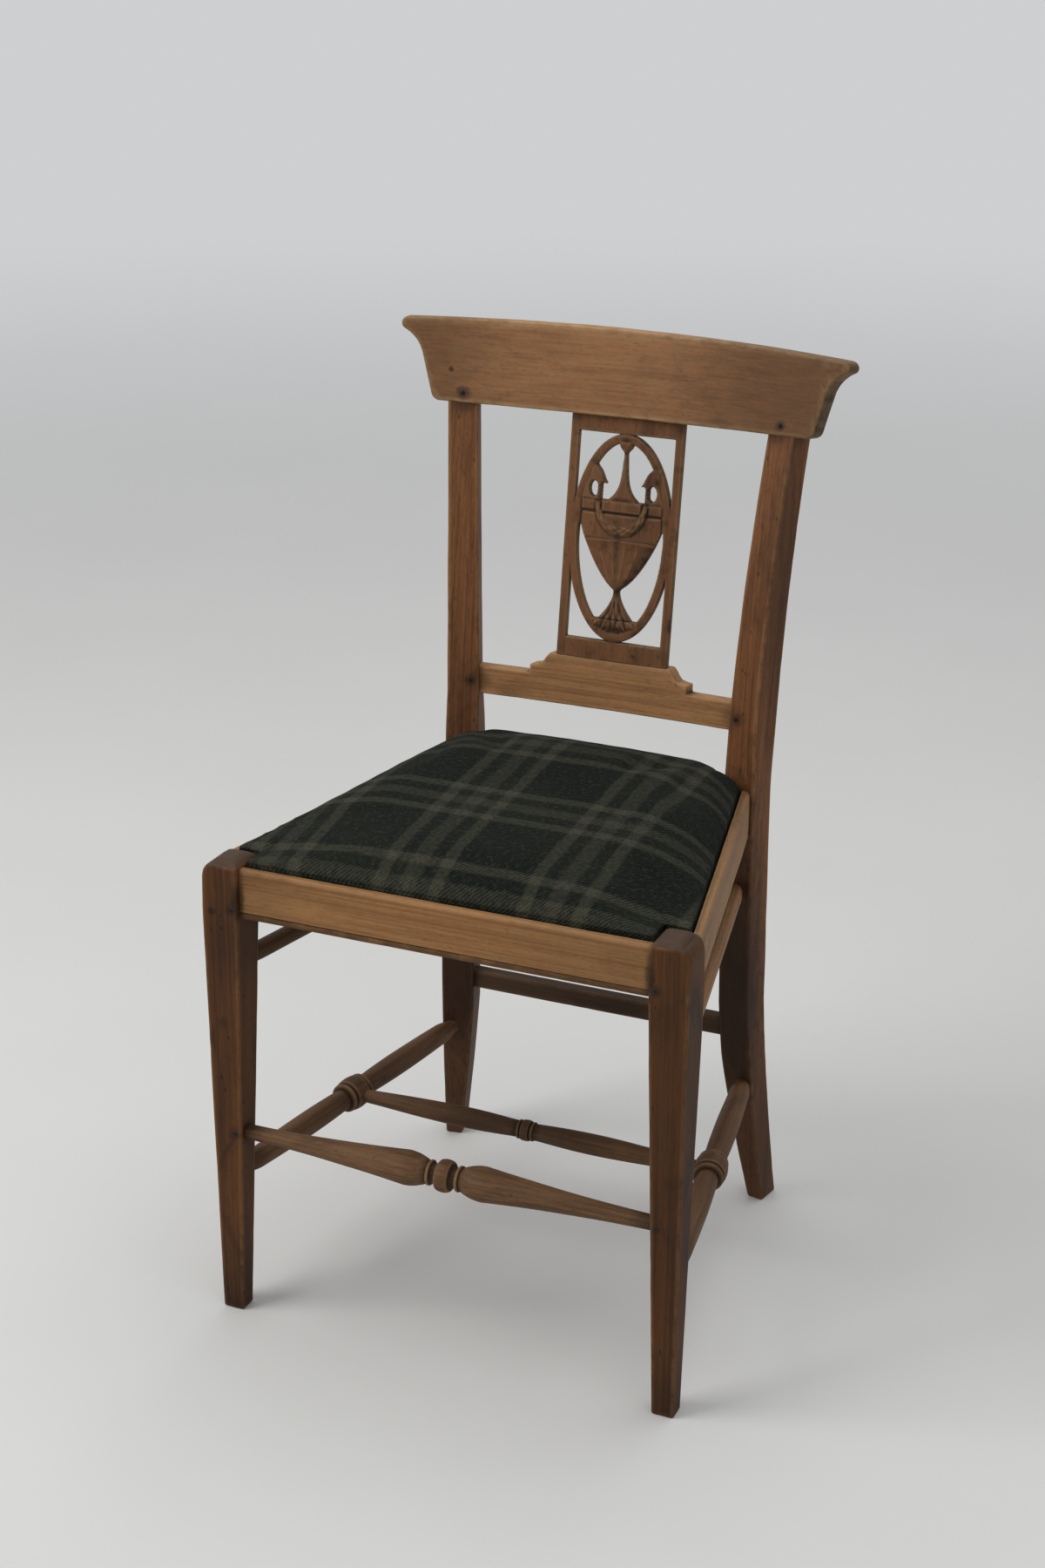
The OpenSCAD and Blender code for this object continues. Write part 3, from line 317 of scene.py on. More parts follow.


# Among these, the wide stain on the legs' inner faces just under the seat (x 192, z 380) is painted shade;
# the one reaching up from below the foot (z -25) makes the legs darker towards the floor, and the tall spot
# on the right leg (x 222, z 250) makes its outer half darker.
leg_finish = wood_finish(
    "stained_leg_wood", pale=(88, 53, 22), deep=(56, 32, 12), edge=(118, 82, 50), lines=0.12, marks=0.8,
    patches=0.8, ends=(70, 57, 46),
    stains_and_shade=[(199, 0, 412, 10, 0.6), (193, 0, 420, 9, 0.8, 3.4), (205, 1, 187, 9, 0.5),
            (199, 16, 184, 15, 0.65), (213, 27, 138, 16, 0.65), (211, 37, 347, 14, 0.6),
            (217, 12, -25, 120, 0.5), (192, 20, 380, 60, 0.35)],
    spots=[(-219.5, 0, 408, 6, 0.7), (222, 10, 330, 9, 0.4), (-212, 0, 300, 8, 0.35),
           (222, 10, 250, 60, 0.3, 4)])


def level_ring(flat, z):
    """An outline in plan, laid at a height."""
    return np.column_stack([flat, np.full(len(flat), z)])


def leg_ring(z, inset=0.0, ease=2.2, outer=None, outer_ease=None):
    """A leg's section at a height. Its outer side can be set in further, with rounder corners."""
    t = min(1.0, z / RAIL_Z)
    out = LEG_X - FOOT_IN * (1 - t)
    wide, deep = FOOT_W + (LEG_W - FOOT_W) * t, FOOT_D + (LEG_D - FOOT_D) * t
    y0 = FOOT_IN / 2 * (1 - t)
    x0, x1, y1 = out - wide + inset, out - (inset if outer is None else outer), y0 + deep - inset
    round_out = ease if outer_ease is None else outer_ease
    corners = [(x0, y0 + inset), (x1, y0 + inset), (x1, y1), (x0, y1)]
    return level_ring(eased(corners, (ease, round_out, round_out, ease), inner=4), z)


TOP_EASE, TOP_OUTER_EASE = 2.5, 4.5                    # the worn top's edges, on the inner and outer side
DOME_Z, DOME_IN, DOME_OUT, DOME_H = 452.4, 1.6, 7.8, 4.4  # where the top's dome starts, and its height
rings = [leg_ring(z, worn_in) for z, worn_in in WORN_FOOT]
rings += [leg_ring(z) for z in np.linspace(14, RAIL_Z, 33)]
rings += [leg_ring(z, outer_ease=2.2 + 0.7 * k) for k, z in enumerate((410, 420, 430, 439))]
for z, inset, outer in ((442, 0, 0.3), (444.5, 0, 0.9), (446.5, 0, 1.7), (448.3, 0, 2.7),
                        (449.7, 0.1, 3.8), (450.9, 0.35, 5.1), (451.8, 0.9, 6.5),
                        (DOME_Z, DOME_IN, DOME_OUT)):  # the top, rounded by wear
    rings.append(leg_ring(z, inset, TOP_EASE, outer, TOP_OUTER_EASE))
for t in (0.06, 0.15, 0.27, 0.42, 0.58, 0.76, 1.0):  # and domed
    rings.append(leg_ring(DOME_Z + DOME_H * (1 - (1 - t) ** 2), DOME_IN + 10 * t, TOP_EASE,
                          DOME_OUT + 8 * t, TOP_OUTER_EASE - 1.7 * t))
points, faces = skin(rings)
for s, side in SIDES:
    wooden(f"{side}_front_leg", points * (s, 1, 1), faces, (0, 0, 1), leg_finish,
           [f"front_leg_{side}"], seed=3 + s)

# Rear posts
# One long curved piece on each side makes the rear leg and the back's upright. The
# foot sweeps back and out, the upright leans and narrows to the crest. The same wood
# as the legs, painted darker below the seat as shade.

TOE, POST_X, POST_Y = math.radians(11), 160.0, 361.0
POST_W, POST_D, POST_TOP_W, POST_TOP_D = 33.0, 34.0, 28.8, 28.5
POST_LEAN, POST_BOW, POST_SPREAD, POST_TURN = 41.0, 0.62, 6.6, math.radians(7)
TURN_Z, TURN_RUN = 455.0, 60.0           # above the seat each post turns by POST_TURN
REAR_FOOT_W, REAR_FOOT_D, FOOT_SWEEP, FOOT_SPLAY = 17.0, 27.0, 35.0, 10.0
KNEE_Z, KNEE_OUT, NARROW_Z = 230.0, 4.0, 170.0  # where the leg bends back, and where it starts to narrow
RAKE = math.radians(8.6)
CREST_BASE, BACK_Y = 336.0, 368.5
CREST_Z = SEAT_H + CREST_BASE * math.cos(RAKE)


def post_front(z):
    """How far behind POST_Y a post's front face is at a height."""
    if z >= SEAT_H:
        t = (z - SEAT_H) / (CREST_Z - SEAT_H)
        return POST_LEAN * ((1 - POST_BOW) * t + POST_BOW * t * t)
    ahead = KNEE_OUT * min(1, max(0, RAIL_Z - z) / (RAIL_Z - KNEE_Z))
    return FOOT_SWEEP * max(0, 1 - z / KNEE_Z) ** 1.35 - ahead


def post_box(z):
    """A post's section at a height: how far out, how wide, where its front is and how deep."""
    t = max(0.0, (z - SEAT_H) / (CREST_Z - SEAT_H))
    if z >= SEAT_H:
        return (POST_SPREAD * t * t, POST_TOP_W + (POST_W - POST_TOP_W) * max(0, 1 - t) ** 2,
                post_front(z), POST_D - (POST_D - POST_TOP_D) * t * t)
    wide = POST_W - (POST_W - REAR_FOOT_W) * max(0, 1 - z / NARROW_Z) ** 1.2
    deep = POST_D - (POST_D - REAR_FOOT_D) * max(0, 1 - z / KNEE_Z)
    return FOOT_SPLAY * max(0, 1 - z / RAIL_Z), wide, post_front(z), deep


def on_post(x, y, z=0.0):
    """From a post's own outward and backward directions to the chair's. Above the seat a post is
    turned about its own middle."""
    out, wide, front, deep = post_box(z)
    turn = POST_TURN * float(smooth((z - TURN_Z) / TURN_RUN))
    x, y = x - out + wide / 2, y - front - deep / 2
    x, y = (x * math.cos(turn) + y * math.sin(turn) + out - wide / 2,
            y * math.cos(turn) - x * math.sin(turn) + front + deep / 2)
    return POST_X + x * math.cos(TOE) + y * math.sin(TOE), POST_Y - x * math.sin(TOE) + y * math.cos(TOE)


def post_ring(z, inset=0.0, cut=False):
    """A post's section at a height, or along the crest's lower edge where it is cut there."""
    out, wide, front, deep = post_box(z)
    corners = [(out - wide + inset, front + inset), (out - inset, front + inset),
               (out - inset, front + deep - inset), (out - wide + inset, front + deep - inset)]
    flat = eased(corners, 2.0, inner=4)
    x, y = on_post(flat[:, 0], flat[:, 1], z)
    level = np.full(len(x), float(z))
    if cut:  # the crest's lower edge leans with the back
        level = SEAT_H + (CREST_BASE - (y - BACK_Y) * math.sin(RAKE)) / math.cos(RAKE)
    return np.column_stack([x, y, level])


# The wide marks on the rear legs below the seat, down their front faces (z 225, both sides and again on the
# left) and at their feet (z 60), and the tall spot on the right post's outer side above the seat (x 186, z
# 640) are painted shade; the small ones at the rail and crest joints are stains.
post_finish = wood_finish(
    "post_wood", pale=(124, 81, 48), deep=(87, 54, 30), edge=(136, 98, 62), marks=0.5, patches=0.6,
    stains_and_shade=[(137, 371, 517, 11, 0.65), (131, 376, 517, 20, 0.4), (158, 408, 786, 17, 0.5),
            (146, 366, 428, 28, 0.45), (146, 350, 225, 62, 0.86, 5.5), (160, 385, 60, 150, 0.6)],
    spots=[(186, 392, 640, 46, 0.6, 6), (-150, 352, 225, 76, 0.75, 5.5)])
rings = [post_ring(z, worn_in) for z, worn_in in WORN_FOOT]
rings += [post_ring(z) for z in [*np.linspace(14, RAIL_Z, 34), *np.linspace(415, 768, 32)]]
rings.append(post_ring(CREST_Z, cut=True))
points, faces = skin(rings)
for s, side in SIDES:
    wooden(f"{side}_rear_post", points * (s, 1, 1), faces, (0, 0.09, 1), post_finish,
           [f"rear_post_{side}"], seed=8 + s)

# Seat rails
# Four rails tenoned into the legs and posts, with a rebate for the drop-in seat. The
# front and side rails have a rounded, hand-worn upper edge and a bead line scratched
# along the foot. The front rail is the palest wood on the chair.

RAIL_SET, SIDE_SET = 5.0, 4.0
LIP, LEDGE_Z = 8.0, 435.0                # the lip beside the rebate, and the ledge the seat rests on
FRONT_RAIL_T, SIDE_RAIL_T, REAR_RAIL_T = 24.0, 22.0, 22.0
BEAD_Z, BEAD_W = 5.0, 1.9
INTO_JOINT = 0.6                         # how far what is seen of a rail goes into the legs and posts
RAIL_X0, RAIL_X1 = LEG_X - SIDE_SET, POST_X - SIDE_SET
RAIL_Y1 = POST_Y + SIDE_SET * math.tan(TOE)
RAIL_ANGLE = math.atan((RAIL_X0 - RAIL_X1) / (RAIL_Y1 - LEG_D))
CORNER_X = POST_X - POST_W * math.cos(TOE)
CORNER_Y = POST_Y + POST_W * math.sin(TOE)


def rail_outline(thick):
    """A rail's section, from its face and the floor: foot, bead line, rounded top, lip and rebate."""
    bead = RAIL_Z + BEAD_Z
    corners = [(thick, RAIL_Z), (0, RAIL_Z), (0, bead), (BEAD_W * 0.7, bead + BEAD_W / 2), (0, bead + BEAD_W),
               (0, SEAT_H), (LIP, SEAT_H), (LIP, LEDGE_Z), (thick, LEDGE_Z)]
    return eased(corners, (1.5, 2.2, 0.5, 0.3, 0.5, 4.0, 0.8, 0.6, 0.8), support=1.2, inner=2)


rail_finish = wood_finish("front_rail_wood", pale=(152, 112, 70), deep=(120, 81, 47), edge=(168, 132, 90),
                          grime_and_shade=(58, 38, 23), marks=0.2, patches=0.3,
                          stains_and_shade=[(193, 5, 421, 8, 0.7, 4), (194, 5, 428, 18, 0.3), (196, 5, 424, 80, 0.25)],
                          spots=[(166, 5, 430, 40, 0.3), (160, 5, 420, 150, 0.2)])
side_finish = wood_finish("side_rail_wood", pale=(145, 110, 74), deep=(108, 76, 48), edge=(160, 128, 92),
                          marks=0.3)
profile = rail_outline(FRONT_RAIL_T)
half = LEG_X - LEG_W + INTO_JOINT
points, faces = skin([np.column_stack([np.full(len(profile), x), profile[:, 0] + RAIL_SET, profile[:, 1]])
                      for x in np.linspace(-half, half, 60)])
# darker along the bead line and the strip under it
foot_darker = 0.85 * smooth((RAIL_Z + BEAD_Z + BEAD_W + 0.6 - points[:, 2]) / 1.2)
wooden("front_seat_rail", points, faces, (1, 0, 0), rail_finish, ["front_rail"], seed=11,
       soot_and_shade=foot_darker)

profile = rail_outline(SIDE_RAIL_T)
run = np.array([-math.sin(RAIL_ANGLE), math.cos(RAIL_ANGLE)])
across = np.array([-math.cos(RAIL_ANGLE), -math.sin(RAIL_ANGLE)])
plan = np.array([RAIL_X0, LEG_D]) + profile[:, :1] * across  # each line of the profile, at the leg
ahead = (LEG_D - INTO_JOINT - plan[:, 1]) / run[1]           # to the leg's back face
normal = np.array([math.sin(TOE), math.cos(TOE)])            # of the post's front face
behind = ((np.array([POST_X, POST_Y]) - plan) @ normal + INTO_JOINT) / (run @ normal)
rings = [np.column_stack([plan + run * (ahead + (behind - ahead) * share)[:, None], profile[:, 1]])
         for share in np.linspace(0, 1, 56)]
points, faces = skin(rings)
for s, side in SIDES:
    wooden(f"{side}_seat_rail", points * (s, 1, 1), faces, (run[0] * s, run[1], 0), side_finish,
           [f"side_rail_{side}"], seed=14 + s)

REAR_RAIL_Y = CORNER_Y + 1
REAR_LEDGE = 10.0
profile = eased([(0, RAIL_Z), (REAR_RAIL_T, RAIL_Z), (REAR_RAIL_T, SEAT_H), (REAR_LEDGE, SEAT_H),
                 (REAR_LEDGE, LEDGE_Z), (0, LEDGE_Z)], (1.5, 1.5, 2.0, 0.8, 0.6, 0.8), inner=2)
y = REAR_RAIL_Y + profile[:, 0]
end = CORNER_X + (y - CORNER_Y) * math.tan(TOE) + INTO_JOINT
points, faces = skin([np.column_stack([end * share, y, profile[:, 1]]) for share in np.linspace(-1, 1, 40)])
wooden("rear_seat_rail", points, faces, (1, 0, 0), side_finish, ["rear_rail"], seed=17)

# Turned stretchers
# Turned on a lathe from the same fruitwood, and glued into round sockets. The front
# one has two long vases on either side of a ring. The side ones swell to a ringed
# bulb, where the thin cross stretcher enters. Two plain bars run close under the rails.

FRONT_STR_Z, SIDE_STR_Z, UPPER_STR_Z = 184.5, 138.0, 347.0
VASE_D, RING_D, NECK_D, SOCKET_D = 32.0, 30.0, 20.0, 14.0
NECK_END, VASE_WIDEST = 16.2, 38.0       # from the ring's middle, along the front stretcher
SIDE_STR_D, BULB_D, CROSS_D, CROSS_END_D, CROSS_THIN_D, UPPER_STR_D = 23.0, 32.0, 20.0, 13.0, 16.0, 17.0


def leg_middle(z):
    """The x and y of a front leg's middle at a height."""
    ring = leg_ring(z)
    return (ring[:, 0].min() + ring[:, 0].max()) / 2, (ring[:, 1].min() + ring[:, 1].max()) / 2


def turned(half, p, q, sides=36):
    """A turned bar between two points. half is its radius against the length from its middle."""
    p, q = np.array(p, float), np.array(q, float)
    way = (q - p) / np.linalg.norm(q - p)
    up = np.cross(way, (0, 0, 1.0))
    up /= np.linalg.norm(up)
    out = np.cross(way, up)
    profile = [(-s, r) for s, r in half[::-1]] + [(s, r) for s, r in half if s > 0.01]
    turn = np.linspace(0, 2 * math.pi, sides, endpoint=False)
    rings = [(p + q) / 2 + way * s + r * (np.cos(turn)[:, None] * up + np.sin(turn)[:, None] * out)
             for s, r in profile]
    return skin(rings)


def hump(x, c, w):
    """A round rise that is 1 at c and ends w away from it."""
    return math.sqrt(max(0.0, 1 - ((x - c) / w) ** 2))


# The two wide marks under the middle of the seat (y 200, z 138) are painted shade; the small ones at the
# legs' sockets are stains.
turned_finish = wood_finish("turned_wood", pale=(112, 82, 55), deep=(78, 55, 35), edge=(134, 102, 70),
                            grime_and_shade=(40, 30, 20), marks=0.35, patches=0.5,
                            stains_and_shade=[(196, 16, 184, 24, 0.5), (212, 40, 138, 26, 0.5), (0, 200, 138, 150, 0.5),
                                    (185, 200, 138, 150, 0.3)])

x_in = leg_ring(FRONT_STR_Z)[:, 0].min()
half = [(s, RING_D / 2 - 2.4 * (1 - hump(s, 0, 6.6))) for s in (0, 1.5, 3, 4.2, 5.2, 5.9, 6.4)]
half += [(6.7, NECK_D / 2 + 1.2), (7.2, NECK_D / 2 - 0.2), (9, NECK_D / 2 - 0.9), (11.5, NECK_D / 2 - 0.4),
         (12.4, NECK_D / 2 - 0.1), (12.7, NECK_D / 2 + 1.2), (13.6, NECK_D / 2 + 1.9), (15, NECK_D / 2 + 1.9),
         (15.9, NECK_D / 2 + 1.2), (16.2, NECK_D / 2 + 0.1)]
for k in range(1, 34):
    s = NECK_END + (x_in + 2 - NECK_END) * (k / 33) ** 1.25
    if s < VASE_WIDEST:
        swell = math.sin(math.pi / 2 * (s - 16) / (VASE_WIDEST - 16))
        r = NECK_D / 2 + (VASE_D - NECK_D) / 2 * swell ** 0.8
    else:
        narrowing = max(0, 1 - (s - VASE_WIDEST) / (x_in - VASE_WIDEST))
        r = SOCKET_D / 2 + (VASE_D - SOCKET_D) / 2 * narrowing ** 1.7
    half.append((s, r))
y_mid = leg_middle(FRONT_STR_Z)[1]
points, faces = turned(half, (-x_in, y_mid, FRONT_STR_Z), (x_in, y_mid, FRONT_STR_Z))
wooden("front_stretcher_turned", points, faces, (1, 0, 0), turned_finish, ["front_stretcher"],
       seed=21, crisp=50)


def post_socket(z, inward):
    """The place on a post's front face where a bar enters, that far in from its outer side."""
    out, _, front, _ = post_box(z)
    return (*on_post(out - inward, front), z)


side_p = np.array([leg_middle(SIDE_STR_Z)[0], leg_ring(SIDE_STR_Z)[:, 1].max(), SIDE_STR_Z])
side_q = np.array(post_socket(SIDE_STR_Z, 10))
cross_x, cross_y = (side_p[:2] + side_q[:2]) / 2
long = np.linalg.norm(side_q - side_p) / 2
thin = SIDE_STR_D / 2 - 1.4
half = [(s, BULB_D / 2 * hump(s, 0, 26)) for s in (0, 2, 4, 6, 7.5, 8.6)]
half += [(9.2, BULB_D / 2 - 2.6), (9.6, BULB_D / 2 - 3.7), (10.8, BULB_D / 2 - 3.9)]
half += [(s, BULB_D / 2 - 3.0 + 1.6 * hump(s, 13, 2.2)) for s in (10.95, 11.6, 12.3, 13, 13.7, 14.4, 15.05)]
half += [(15.5, SIDE_STR_D / 2 - 1.2), (16.5, SIDE_STR_D / 2 - 1.6)]
half += [(17 + (long - 39) * t, thin + 1.4 * math.sin(math.pi * t ** 0.8)) for t in np.linspace(0.02, 1, 20)]
half += [(long - 22 + 24 * t, thin - (thin - SOCKET_D / 2) * float(smooth(t)))
         for t in np.linspace(0.12, 1, 8)]
points, faces = turned(half, side_p, side_q)
for s, side in SIDES:
    way = (side_q - side_p) * (s, 1, 1)
    wooden(f"{side}_side_stretcher", points * (s, 1, 1), faces, way, turned_finish,
           [f"side_stretcher_{side}"], seed=24 + s, crisp=50)

half = [(s, CROSS_D / 2 + 0.7 * hump(s, 0, 4.1) - 0.5) for s in (0, 1.4, 2.6, 3.4, 3.9)]
half += [(4.15, CROSS_THIN_D / 2 - 0.2), (5.2, CROSS_THIN_D / 2 - 0.5)]
half += [(s, CROSS_THIN_D / 2 + 1.4 * hump(s, 7.0, 1.7)) for s in (5.35, 6.0, 7.0, 8.0, 8.65)]
half.append((8.9, CROSS_THIN_D / 2 - 0.1))
for t in np.linspace(0, 1, 26):
    r = CROSS_THIN_D / 2 - (CROSS_THIN_D - CROSS_END_D) / 2 * float(smooth(t))
    half.append((9.2 + (cross_x - BULB_D / 2 - 8) * t,
                 r + (CROSS_D - CROSS_THIN_D + 1.2) / 2 * max(0, math.sin(math.pi * t ** 0.85)) ** 1.3))
points, faces = turned(half, (-cross_x, cross_y, SIDE_STR_Z), (cross_x, cross_y, SIDE_STR_Z), 32)
wooden("cross_stretcher_turned", points, faces, (1, 0, 0), turned_finish, ["cross_stretcher"],
       seed=28, crisp=50)

upper_p = np.array([leg_middle(UPPER_STR_Z)[0], leg_ring(UPPER_STR_Z)[:, 1].max(), UPPER_STR_Z])
upper_q = np.array(post_socket(UPPER_STR_Z, POST_W / 2))
long = np.linalg.norm(upper_q - upper_p) / 2
half = [(s, UPPER_STR_D / 2) for s in np.linspace(0, long - 26, 16)]
half += [(long - 24 + 26 * t, UPPER_STR_D / 2 - (UPPER_STR_D - SOCKET_D) / 2 * float(smooth(t)))
         for t in np.linspace(0.1, 1, 8)]
points, faces = turned(half, upper_p, upper_q, 28)
# The wide spot on the left bar is painted shade.
bar_finish = wood_finish("plain_bar_wood", pale=(145, 110, 74), deep=(108, 76, 48), edge=(160, 128, 92),
                         marks=0.3, spots=[(-192, 190, UPPER_STR_Z, 380, 0.75)])
for s, side in SIDES:
    way = (upper_q - upper_p) * (s, 1, 1)
    wooden(f"{side}_upper_stretcher", points * (s, 1, 1), faces, way, bar_finish,
           [f"upper_stretcher_{side}"], seed=31 + s, crisp=50)

# Rear stretcher
# A plain flat bar, tenoned between the rear posts. It is thinner than the turned ones
# and has only had its corners taken off.

REAR_STR_Z, REAR_STR_H, REAR_STR_T = 196.0, 19.0, 14.0
out, wide = post_box(REAR_STR_Z)[:2]
rear_y = post_socket(REAR_STR_Z, POST_W / 2)[1] + 8
profile = eased([(0, -REAR_STR_H / 2), (REAR_STR_T, -REAR_STR_H / 2), (REAR_STR_T, REAR_STR_H / 2),
                 (0, REAR_STR_H / 2)], 1.8, inner=2)
y = rear_y + profile[:, 0]
inner = out - wide  # the post's inner face
end = POST_X + inner * math.cos(TOE) + math.tan(TOE) * (y - POST_Y + inner * math.sin(TOE)) + 2 * INTO_JOINT
points, faces = skin([np.column_stack([end * share, y, REAR_STR_Z + profile[:, 1]])
                      for share in np.linspace(-1, 1, 44)])
# The flat bar's wood is a darker copy of the side rails' wood, painted as the shade under the seat.
shaded_rear_finish = wood_finish("shaded_rear_bar_wood", pale=(74, 54, 36), deep=(52, 37, 24), edge=(92, 68, 46),
                          patches=0.5)
wooden("rear_stretcher_flat", points, faces, (1, 0, 0), shaded_rear_finish, ["rear_stretcher"], seed=35)

# Mid rail
# A curved rail low in the back, sawn a little flatter than the crest, with a moulded
# plinth on which the splat stands. Pale like the crest, with a dark worn step.

BACK_R = 950.0
MID_BASE, MID_H, MID_T, MID_FRONT = 54.0, 27.5, 19.0, 5.0
MID_CURVE = 0.72                         # its curve in plan, as a share of the back's own
PLINTH_H, PLINTH_HALF, PLINTH_RISE, PLINTH_LEDGE, OGEE_RUN = 49.0, 81.0, 12.0, 9.0, 12.5
PLINTH_ASIDE = 1.0                       # the plinth stands a little to the right
BEHIND = 1000.0                          # less a depth that counts from a plate's back, to tell it apart


def back_place(x, through, up):
    """From the leaning back's across, through and up to the chair's own directions, in mm."""
    return np.column_stack([x, BACK_Y + through * math.cos(RAKE) + up * math.sin(RAKE),
                            SEAT_H - through * math.sin(RAKE) + up * math.cos(RAKE)])


def corner_ways(plan, least):
    """At each corner of a closed outline, which way and how far its two sides go in for a step of 1."""
    a, b = plan - np.roll(plan, 1, 0), np.roll(plan, -1, 0) - plan
    a, b = a / np.linalg.norm(a, axis=1)[:, None], b / np.linalg.norm(b, axis=1)[:, None]
    inward = np.column_stack([-(a + b)[:, 1], (a + b)[:, 0]])
    return inward / np.maximum(least, np.linalg.norm(a + b, axis=1) ** 2 / 2)[:, None]


def plate(outline, front, thick, ease, levels, splay=0.0):
    """A sawn board from its outline in x and height, with eased edges. front and thick follow x. The
    levels are heights with points of their own. With a splay of 1 its ends are square to the curve."""
    outline = np.asarray(outline, float)
    inward = corner_ways(outline, 0.55)
    steps = [(ease * (1 - math.sin(t)), ease * (1 - math.cos(t))) for t in np.linspace(0, math.pi / 2, 5)]
    solid = bmesh.new()
    rows = []
    for inset, depth in steps + [(inset, BEHIND - drop) for inset, drop in steps[::-1]]:
        rows.append([solid.verts.new((p[0], depth, p[1])) for p in outline + inward * inset])
    n = len(outline)
    for near, far in zip(rows, rows[1:]):
        for i in range(n):
            solid.faces.new((near[i], near[(i + 1) % n], far[(i + 1) % n], far[i]))
    solid.faces.new(rows[0][::-1])
    solid.faces.new(rows[-1])
    left, right, every = outline[:, 0].min(), outline[:, 0].max(), 7.0
    cuts = [((x, 0, 0), (1, 0, 0)) for x in np.arange(left + every, right, every)]
    cuts += [((0, 0, z), (0, 0, 1)) for z in levels]
    for co, no in cuts:
        bmesh.ops.bisect_plane(solid, geom=solid.verts[:] + solid.edges[:] + solid.faces[:], plane_co=co,
                               plane_no=no, dist=0.02)
    solid.verts.index_update()
    flat = np.array([v.co for v in solid.verts])
    faces = [[v.index for v in f.verts] for f in solid.faces]
    solid.free()
    x, depth = flat[:, 0], flat[:, 1]
    through = np.where(depth < BEHIND / 2, front(x) + depth, front(x) + thick(x) - (BEHIND - depth))
    return back_place(x * (1 + splay * (through - front(x)) / BACK_R), through, flat[:, 2]), faces


def curve_in(x):
    """How far the back's curve has come forward at x."""
    return BACK_R - np.sqrt(BACK_R ** 2 - np.minimum(np.abs(x), BACK_R - 1) ** 2)


mid_finish = wood_finish(
    "mid_rail_wood", pale=(154, 113, 73), deep=(121, 84, 52), edge=(164, 126, 86), grime_and_shade=(50, 36, 24),
    marks=0.2, patches=0.3,
    stains_and_shade=[(82, 376, 530, 11, 0.4), (128, 375, 517, 14, 0.4), (62, 374, 556, 7, 0.4)],
    spots=[(-30, 366, 520, 26, 0.16), (-100, 372, 506, 20, 0.25), (40, 366, 535, 30, 0.14)])


def post_inner(height):
    """Just inside the post's inner face at a height above the seat, along the back."""
    z = SEAT_H + height * math.cos(RAKE)
    out, wide, front, _ = post_box(z)
    return on_post(out - wide, front + 10, z)[0] + 0.8


def mirrored(points):
    """The right half of an outline, and the left half that mirrors it."""
    return list(points) + [(-x, z) for x, z in points[::-1]]


mid_top, foot = MID_BASE + MID_H, MID_BASE + PLINTH_H - PLINTH_RISE
right = [(post_inner(MID_BASE), MID_BASE), (post_inner(mid_top), mid_top), (PLINTH_HALF + 1.2, mid_top),
         (PLINTH_HALF + 0.2, mid_top + 1.0), (PLINTH_HALF, mid_top + 3), (PLINTH_HALF, foot - 2.6),
         (PLINTH_HALF - 1.1, foot - 1.5)]
right += [(PLINTH_HALF - PLINTH_LEDGE - OGEE_RUN * k / 12,
           foot + PLINTH_RISE * (1 - math.cos(math.pi * k / 12)) / 2) for k in range(13)]
outline = [(x + PLINTH_ASIDE * (abs(x) < PLINTH_HALF + 2), z) for x, z in mirrored(right)]
points, faces = plate(outline, lambda x: MID_FRONT - MID_CURVE * curve_in(x), lambda x: 0 * x + MID_T, 1.8,
                      [MID_BASE + z for z in (3.5, 12, 20, 24, 32, 40)])
end = np.abs(points[:, 0]).max()
at_end = smooth((np.abs(points[:, 0]) - end + 8) / 5)  # the shoulders are cut to the posts' inner faces
behind = points[:, 1] - points[at_end > 0.5, 1].min() - 0.13 * (points[:, 2] - points[at_end > 0.5, 2].min())
points[:, 0] += np.sign(points[:, 0]) * at_end * np.clip(behind, 0, MID_T) * math.tan(TOE + POST_TURN)
wooden("mid_rail_moulded", points, faces, (1, 0, 0), mid_finish, ["mid_rail"], seed=41)

# Crest rail
# A broad board sawn hollow to the sitter's back, with horns that flare out over coves.
# The plainest and palest surface: long fine grain lines, and an upper edge rubbed pale.

CREST_FRONT, CREST_H, CREST_T, CREST_END_T = -4.0, 78.0, 22.0, 19.0
CREST_HALF, COVE_R, CREST_ROUND, END_RISE = 188.0, 40.0, 9.0, 38.0
LEAN, COVE_STOP = math.radians(16.5), math.radians(119)
ARCH, ARCH_DROP, ARCH_TILT = 2.4, 5.0, 1.9  # the upper edge: its middle, its ends, and higher on the left
LEFT_WIDER, RIGHT_WIDER = 2.0, 4.0       # the lower ends


def arc_points(c, r, a0, a1, n):
    """Points on an arc about c, in n steps from one angle to another."""
    return [(c[0] + r * math.cos(a0 + (a1 - a0) * k / n), c[1] + r * math.sin(a0 + (a1 - a0) * k / n))
            for k in range(n + 1)]


corner = (CREST_HALF - CREST_ROUND, CREST_ROUND)


def up_the_end(t):
    """A place on the straight leaning part of the board's end, at a length above its round corner."""
    return (corner[0] + CREST_ROUND * math.cos(LEAN) + t * math.sin(LEAN),
            corner[1] - CREST_ROUND * math.sin(LEAN) + t * math.cos(LEAN))


